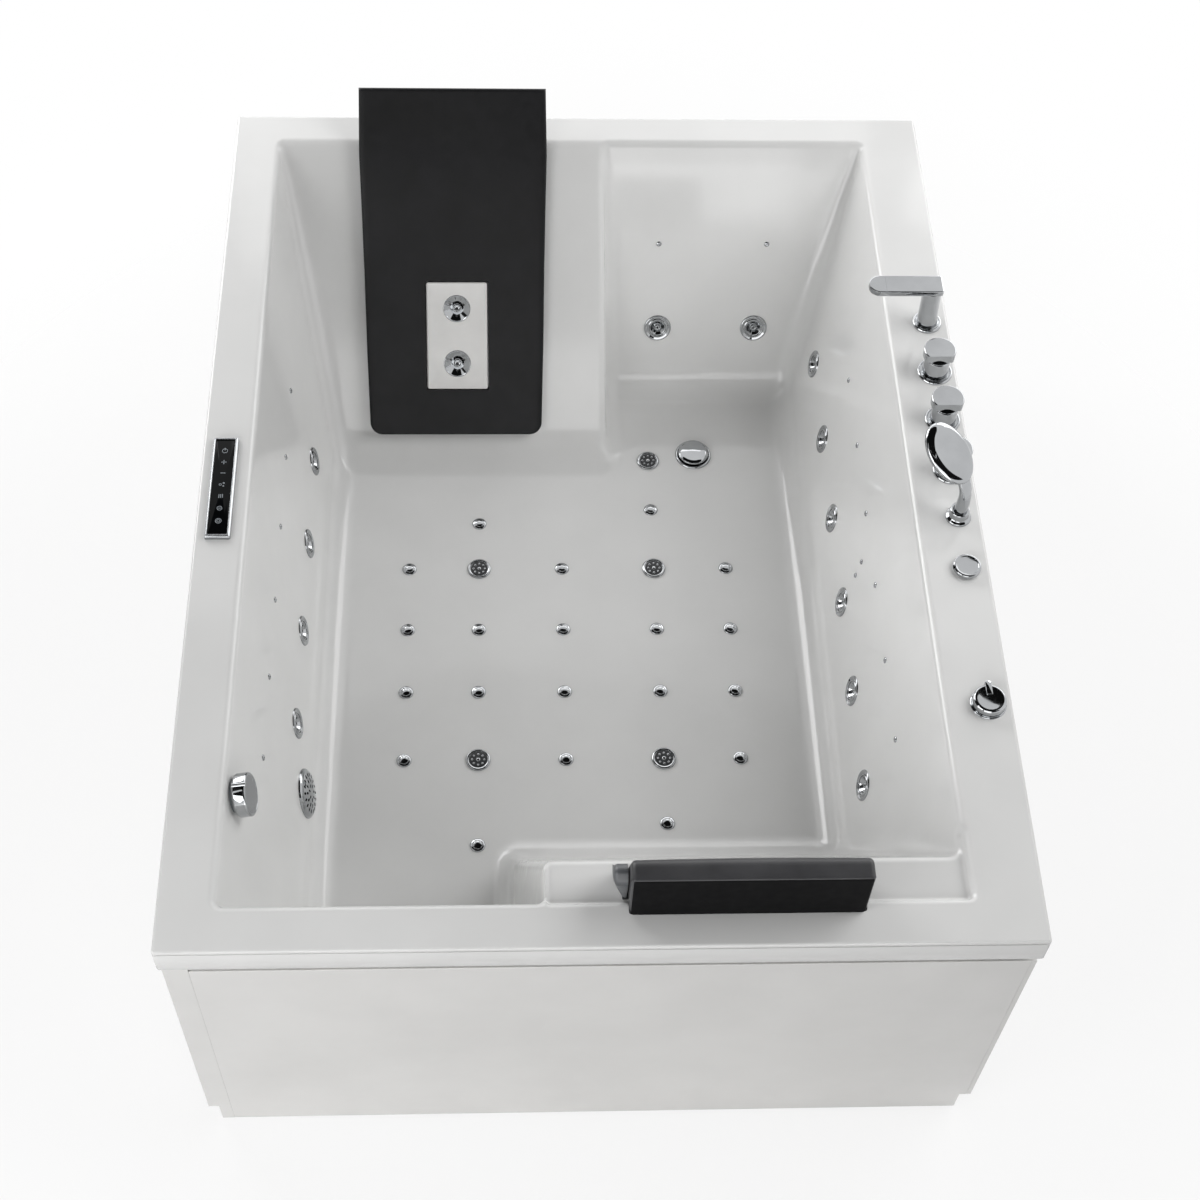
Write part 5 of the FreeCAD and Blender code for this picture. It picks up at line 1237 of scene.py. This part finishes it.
@dataclass
class Pillow:
    """Foam head pillow over the front backrest, on its bracket."""

    x0: float = 0.036
    x1: float = 0.397
    back: float = -0.848
    top: float = 0.814

    def build(self) -> None:
        """Builds the foam in place of its solid, and the bracket's cheek."""
        # The top takes a painted lit grey, the upright back a painted shade, and the bracket's cheek a
        # painted lit grey.
        cushion = piece(self.foam(), [LIT_TOP_FOAM, SHADED_BACK_FOAM], body="pillow", nodes=["pillow"])
        piece(self.bracket(), [LIT_GREY_CHEEK, DARK_MOULDING], nodes=["pillow_bracket"])

    def foam(self) -> Mesh:
        """Section carried along X: upright back, rolled top and a slope down the backrest.

        Ring k is the section drawn in by r - sqrt(r^2 - (r - d)^2) at a distance d from an end, and
        its front swells by a long arch, most in the middle. The upright back is material 1, which
        takes the painted shade.
        """
        b, t = self.back, self.top
        section = outline([(b + 0.036, 0.690, 0.003), (b + 0.085, 0.690, 0.004), (b + 0.060, 0.756, 0.020),
                           (b + 0.036, t + 0.0005, 0.013), (b, t, 0.006), (b, 0.7025, 0.001),
                           (b + 0.033, 0.7025, 0.001)], 6, closed=True)
        r = 0.0075
        d = r * (1 - np.cos(np.linspace(0.02, math.pi / 2, 8)))
        middle = spread((self.x0 + r + 0.01, self.x1 - r - 0.01, 0.012))
        x = np.concatenate([self.x0 + d, middle, self.x1 - d[::-1]])[::-1]
        gap = np.minimum(np.minimum(x - self.x0, self.x1 - x), r)
        inset = r - np.sqrt(np.maximum(r ** 2 - (r - gap) ** 2, 0))
        share = (x - self.x0) / (self.x1 - self.x0)
        rings = []
        for place, draw, s in zip(x, inset, share):
            loop = inset_loop(section, draw)
            loop[:, 0] += 0.0025 * math.sin(math.pi * s) * np.clip((loop[:, 0] - b - 0.02) / 0.03, 0, 1)
            rings.append(np.column_stack([np.full(len(loop), place), loop]))
        foam = stacked("pillow_foam", np.array(rings))
        # Faces that look along -Y, the upright back, take material 1: the painted shade.
        facing = np.empty(len(foam.polygons) * 3, np.float32)
        foam.polygons.foreach_get("normal", facing)
        foam.polygons.foreach_set("material_index", (facing[1::3] < -0.8).astype(np.int32))
        return foam

    def bracket(self) -> Mesh:
        """Foot plate and pegs under the foam, and the rounded wedge that shows at its left end.

        The wedge is a section in Y and Z carried along X: ring k shrinks towards its middle as the
        end is rounded. Nothing of it lies below a line that climbs from the plate to the end, and
        what that lifts is kept behind the slope of the section's front.
        """
        left, right = self.x0 - 0.025, self.x1 - 0.016
        plate = slab("foot", rectangle(right - left - 0.017, 0.051, 0.002),
                     in_mm([(0.4, 0.0), (0, -0.4), (0, -6)]))
        plate.transform(Matrix.Translation(((left + 0.017 + right) / 2, -0.7865, 0.688)))
        pegs = [rod(0.005, 0.686, 0.712, x, -0.795) for x in (self.x0 + 0.060, self.x1 - 0.060)]
        section = outline([(-0.812, 0.688, 0.001), (-0.761, 0.688, 0.001), (-0.791, 0.762, 0.016),
                           (-0.807, 0.768, 0.007), (-0.822, 0.752, 0.008)], 7, closed=True)
        middle = np.array([-0.800, 0.752])
        r = 0.008
        depth = np.concatenate([r * (1 - np.cos(np.linspace(0.08, math.pi / 2, 9))),
                                np.linspace(0.011, 0.023, 5)])[::-1]
        share = np.sqrt(np.maximum(1 - np.maximum(1 - depth / r, 0) ** 2, 0))
        rings = np.array([np.column_stack([np.full(len(section), left + d),
                                           middle + (section - middle) * part])
                          for d, part in zip(depth, share)])
        climb = np.interp(rings[..., 0], [left, left + 0.018, self.x0], [0.746, 0.6885, 0.6885])
        rings[..., 2] = np.maximum(rings[..., 2], climb)
        rings[..., 1] = np.minimum(rings[..., 1], -0.761 - 0.405 * (rings[..., 2] - 0.688))
        return joined("pillow_cheek", [stacked("wedge", rings), plate, *pegs])


# ---- what stays as built ---------------------------------------------------------
def dress_solids() -> None:
    """Gives the flat skirts and everything under the shell their finishes."""
    finishes = {
        APRON_SHEET: ("front_apron", "left_apron", "right_apron", "corner_post"),
        POWDER_COAT: ("frame_base", "frame_uprights"),
        ZINC_PLATE: ("levelling_feet", "foot_locknuts", "equipment_trays"),
        DARK_MOULDING: ("pump_casing", "blower", "control_box", "pump_impeller"),
        MOTOR_ENAMEL: ("pump_motor",),
        PRESSURE_PIPE: ("jet_bodies", "water_pipes", "suction_pipe"),
        AIR_HOSE: ("air_pipes", "floor_air_pipes"),
        WASTE_PLASTIC: ("waste_pipe", "overflow_pipe"),
        CHROME: ("inlet_pipes",),
    }
    for finish, nodes in finishes.items():
        for node in nodes:
            dress(node, finish)


# ---- studio ----------------------------------------------------------------------
def around(heading: float, elevation: float, distance: float) -> Vector:
    """Point seen from the middle of the bath at a heading from +X towards +Y and an elevation."""
    turn, rise = math.radians(heading), math.radians(elevation)
    flat = math.cos(rise) * distance
    return Vector((flat * math.cos(turn), flat * math.sin(turn), 0.45 + math.sin(rise) * distance))


@dataclass(frozen=True)
class Softbox:
    """Square lamp of soft light that faces the bath from 3.2 m."""

    name: str
    heading: float
    elevation: float
    watts: float
    mirrored: bool = True
    side: float = 2.0

    def hang(self) -> None:
        """Puts the lamp in the scene."""
        data = bpy.data.lights.new(self.name, "AREA")
        data.size = self.side
        data.energy = self.watts
        thing = shown(self.name, data)
        spot = around(self.heading, self.elevation, 3.2)
        turn = (Vector((0, 0, 0.45)) - spot).to_track_quat("-Z", "Y").to_matrix().to_4x4()
        thing.matrix_world = Matrix.Translation(spot) @ turn
        thing.visible_glossy = self.mirrored


@dataclass(frozen=True)
class Board:
    """Grey board that only mirrors see: it gives polished metal something to show but white."""

    name: str
    headings: tuple[float, float]
    elevations: tuple[float, float]
    grey: str

    def hang(self) -> None:
        """Puts the board up: a patch of a 4.4 m sphere between two headings and two elevations."""
        turn, rise = np.meshgrid(np.radians(np.linspace(*self.headings, 12)),
                                 np.radians(np.linspace(*self.elevations, 8)), indexing="ij")
        points = 4.4 * np.stack([np.cos(rise) * np.cos(turn), np.cos(rise) * np.sin(turn),
                                 np.sin(rise)], axis=-1)
        mesh = mesh_of(self.name, points.reshape(-1, 3), grid_faces(12, 8))
        material, tree = blank_material(self.name)
        glow = add(tree, "Emission", {"Color": linear(self.grey), "Strength": 1.0}, {})
        add(tree, "OutputMaterial", {}, {"Surface": glow.outputs[0]})
        mesh.materials.append(material)
        board = shown(self.name, mesh)
        for ray in ("camera", "diffuse", "transmission", "volume_scatter", "shadow"):
            setattr(board, "visible_" + ray, False)


@dataclass
class Studio:
    """Pale floor, soft lamps, a white surround and the camera of the photo."""

    eye: tuple[float, float, float] = (-0.1411, -2.1844, 3.4838)
    yaw: float = 4.494
    pitch: float = 55.391
    roll: float = 3.421
    lens: float = 60.762
    lift: float = 0.78                 # how much of the floor the camera sees as plain white
    lamps: tuple[Softbox, ...] = (
        Softbox("back_left_lamp", 135.0, 22.0, 57.0), Softbox("back_lamp", 90.0, 26.0, 15.0),
        Softbox("back_right_lamp", 45.0, 22.0, 28.0), Softbox("right_lamp", 0.0, 45.0, 44.0, mirrored=False),
        Softbox("front_left_lamp", 225.0, 22.0, 38.0), Softbox("front_lamp", 270.0, 20.0, 27.0))
    boards: tuple[Board, ...] = (
        Board("board_overhead", (0.0, 360.0), (59.5, 90.0), "#161616"),
        Board("board_behind_camera", (210.0, 330.0), (24.0, 59.5), "#1c1c1c"),
        Board("board_left", (160.0, 200.0), (8.0, 66.0), "#2a2a2a"))

    def camera(self) -> None:
        """Camera that looks down the pitch, turned by the yaw and tilted by the roll."""
        yaw, pitch, roll = (math.radians(a) for a in (self.yaw, self.pitch, self.roll))
        ahead = Vector((math.sin(yaw) * math.cos(pitch), math.cos(yaw) * math.cos(pitch), -math.sin(pitch)))
        right = ahead.cross(Vector((0, 0, 1))).normalized()
        up = right.cross(ahead)
        across = right * math.cos(roll) + up * math.sin(roll)
        rise = up * math.cos(roll) - right * math.sin(roll)
        data = bpy.data.cameras.new("photo_camera")
        data.lens = self.lens
        data.sensor_width = 36.0
        eye = shown("photo_camera", data)
        turn = Matrix((across, rise, -ahead)).transposed().to_4x4()
        eye.matrix_world = Matrix.Translation(self.eye) @ turn
        bpy.context.scene.camera = eye

    def surround(self) -> None:
        """World: dark for light that reaches surfaces, white for the camera, gloss and glass."""
        world = bpy.data.worlds.new("surround")
        bpy.context.scene.world = world
        world.use_nodes = True
        tree = world.node_tree
        tree.nodes.clear()
        ray = add(tree, "LightPath", {}, {})
        seen = add(tree, "Math", {"operation": "MAXIMUM"}, {0: ray.outputs["Is Camera Ray"],
                                                          1: ray.outputs["Is Glossy Ray"]})
        clear = add(tree, "Math", {"operation": "MAXIMUM"}, {0: seen.outputs[0],
                                                            1: ray.outputs["Is Transmission Ray"]})
        dim = add(tree, "Background", {"Color": linear("#ffffff"), "Strength": 0.04}, {})
        white = add(tree, "Background", {"Color": linear("#ffffff"), "Strength": 1.0}, {})
        both = add(tree, "MixShader", {}, {0: clear.outputs[0], 1: dim.outputs[0], 2: white.outputs[0]})
        add(tree, "OutputWorld", {}, {"Surface": both.outputs[0]})

    def floor(self) -> None:
        """Pale floor that fades into the white surround away from the bath.

        The camera sees it part lit and part plain white, so that the shadow stays but is light.
        """
        ring = np.linspace(0.0, 2 * math.pi, 96, endpoint=False)
        radius = np.array([0.001, 1.0, 2.0, 4.0, 9.0])[:, None]
        points = np.stack([radius * np.cos(ring), radius * np.sin(ring), 0 * radius * ring], axis=-1)
        mesh = mesh_of("studio_floor", points.reshape(-1, 3), grid_faces(5, 96, wrap=True))
        ground = shown("studio_floor", mesh)
        material, tree = blank_material("matt_studio_paper")
        spot = add(tree, "TexCoord", {}, {}).outputs["Object"]
        far = add(tree, "VectorMath", {"operation": "LENGTH"}, {0: spot})
        fade = add(tree, "MapRange", {"interpolation_type": "SMOOTHSTEP", "From Min": 1.15, "From Max": 2.1},
                   {"Value": far.outputs["Value"]})
        paper = add(tree, "BsdfDiffuse", {"Color": linear("#f4f4f4")}, {})
        white = add(tree, "Emission", {"Color": linear("#ffffff"), "Strength": 1.0}, {})
        ray = add(tree, "LightPath", {}, {})
        share = add(tree, "Math", {"operation": "MULTIPLY", 1: self.lift}, {0: ray.outputs["Is Camera Ray"]})
        lifted = add(tree, "MixShader", {}, {0: share.outputs[0], 1: paper.outputs[0], 2: white.outputs[0]})
        clear = add(tree, "BsdfTransparent", {}, {})
        both = add(tree, "MixShader", {}, {0: fade.outputs[0], 1: lifted.outputs[0], 2: clear.outputs[0]})
        add(tree, "OutputMaterial", {}, {"Surface": both.outputs[0]})
        mesh.materials.append(material)

    def build(self) -> None:
        """Sets the stage."""
        bpy.context.scene.view_settings.view_transform = "Standard"
        self.camera()
        self.surround()
        self.floor()
        for thing in self.lamps + self.boards:
            thing.hang()


def main() -> None:
    """Builds the bath from the shell outwards, then the studio."""
    logging.basicConfig(level=logging.INFO, format="%(message)s")
    for kind in (TubShell, WallJets, SmallNozzles, FloorFittings, Drain, SuctionGuard, OverflowKnob,
                 TouchPanel, Spout, DeckControls, HandShower, BackrestPad, Pillow):
        LOG.info("-- %s", kind.__name__)
        kind().build()
    dress_solids()
    Studio().build()


if __name__ == "__main__":
    main()
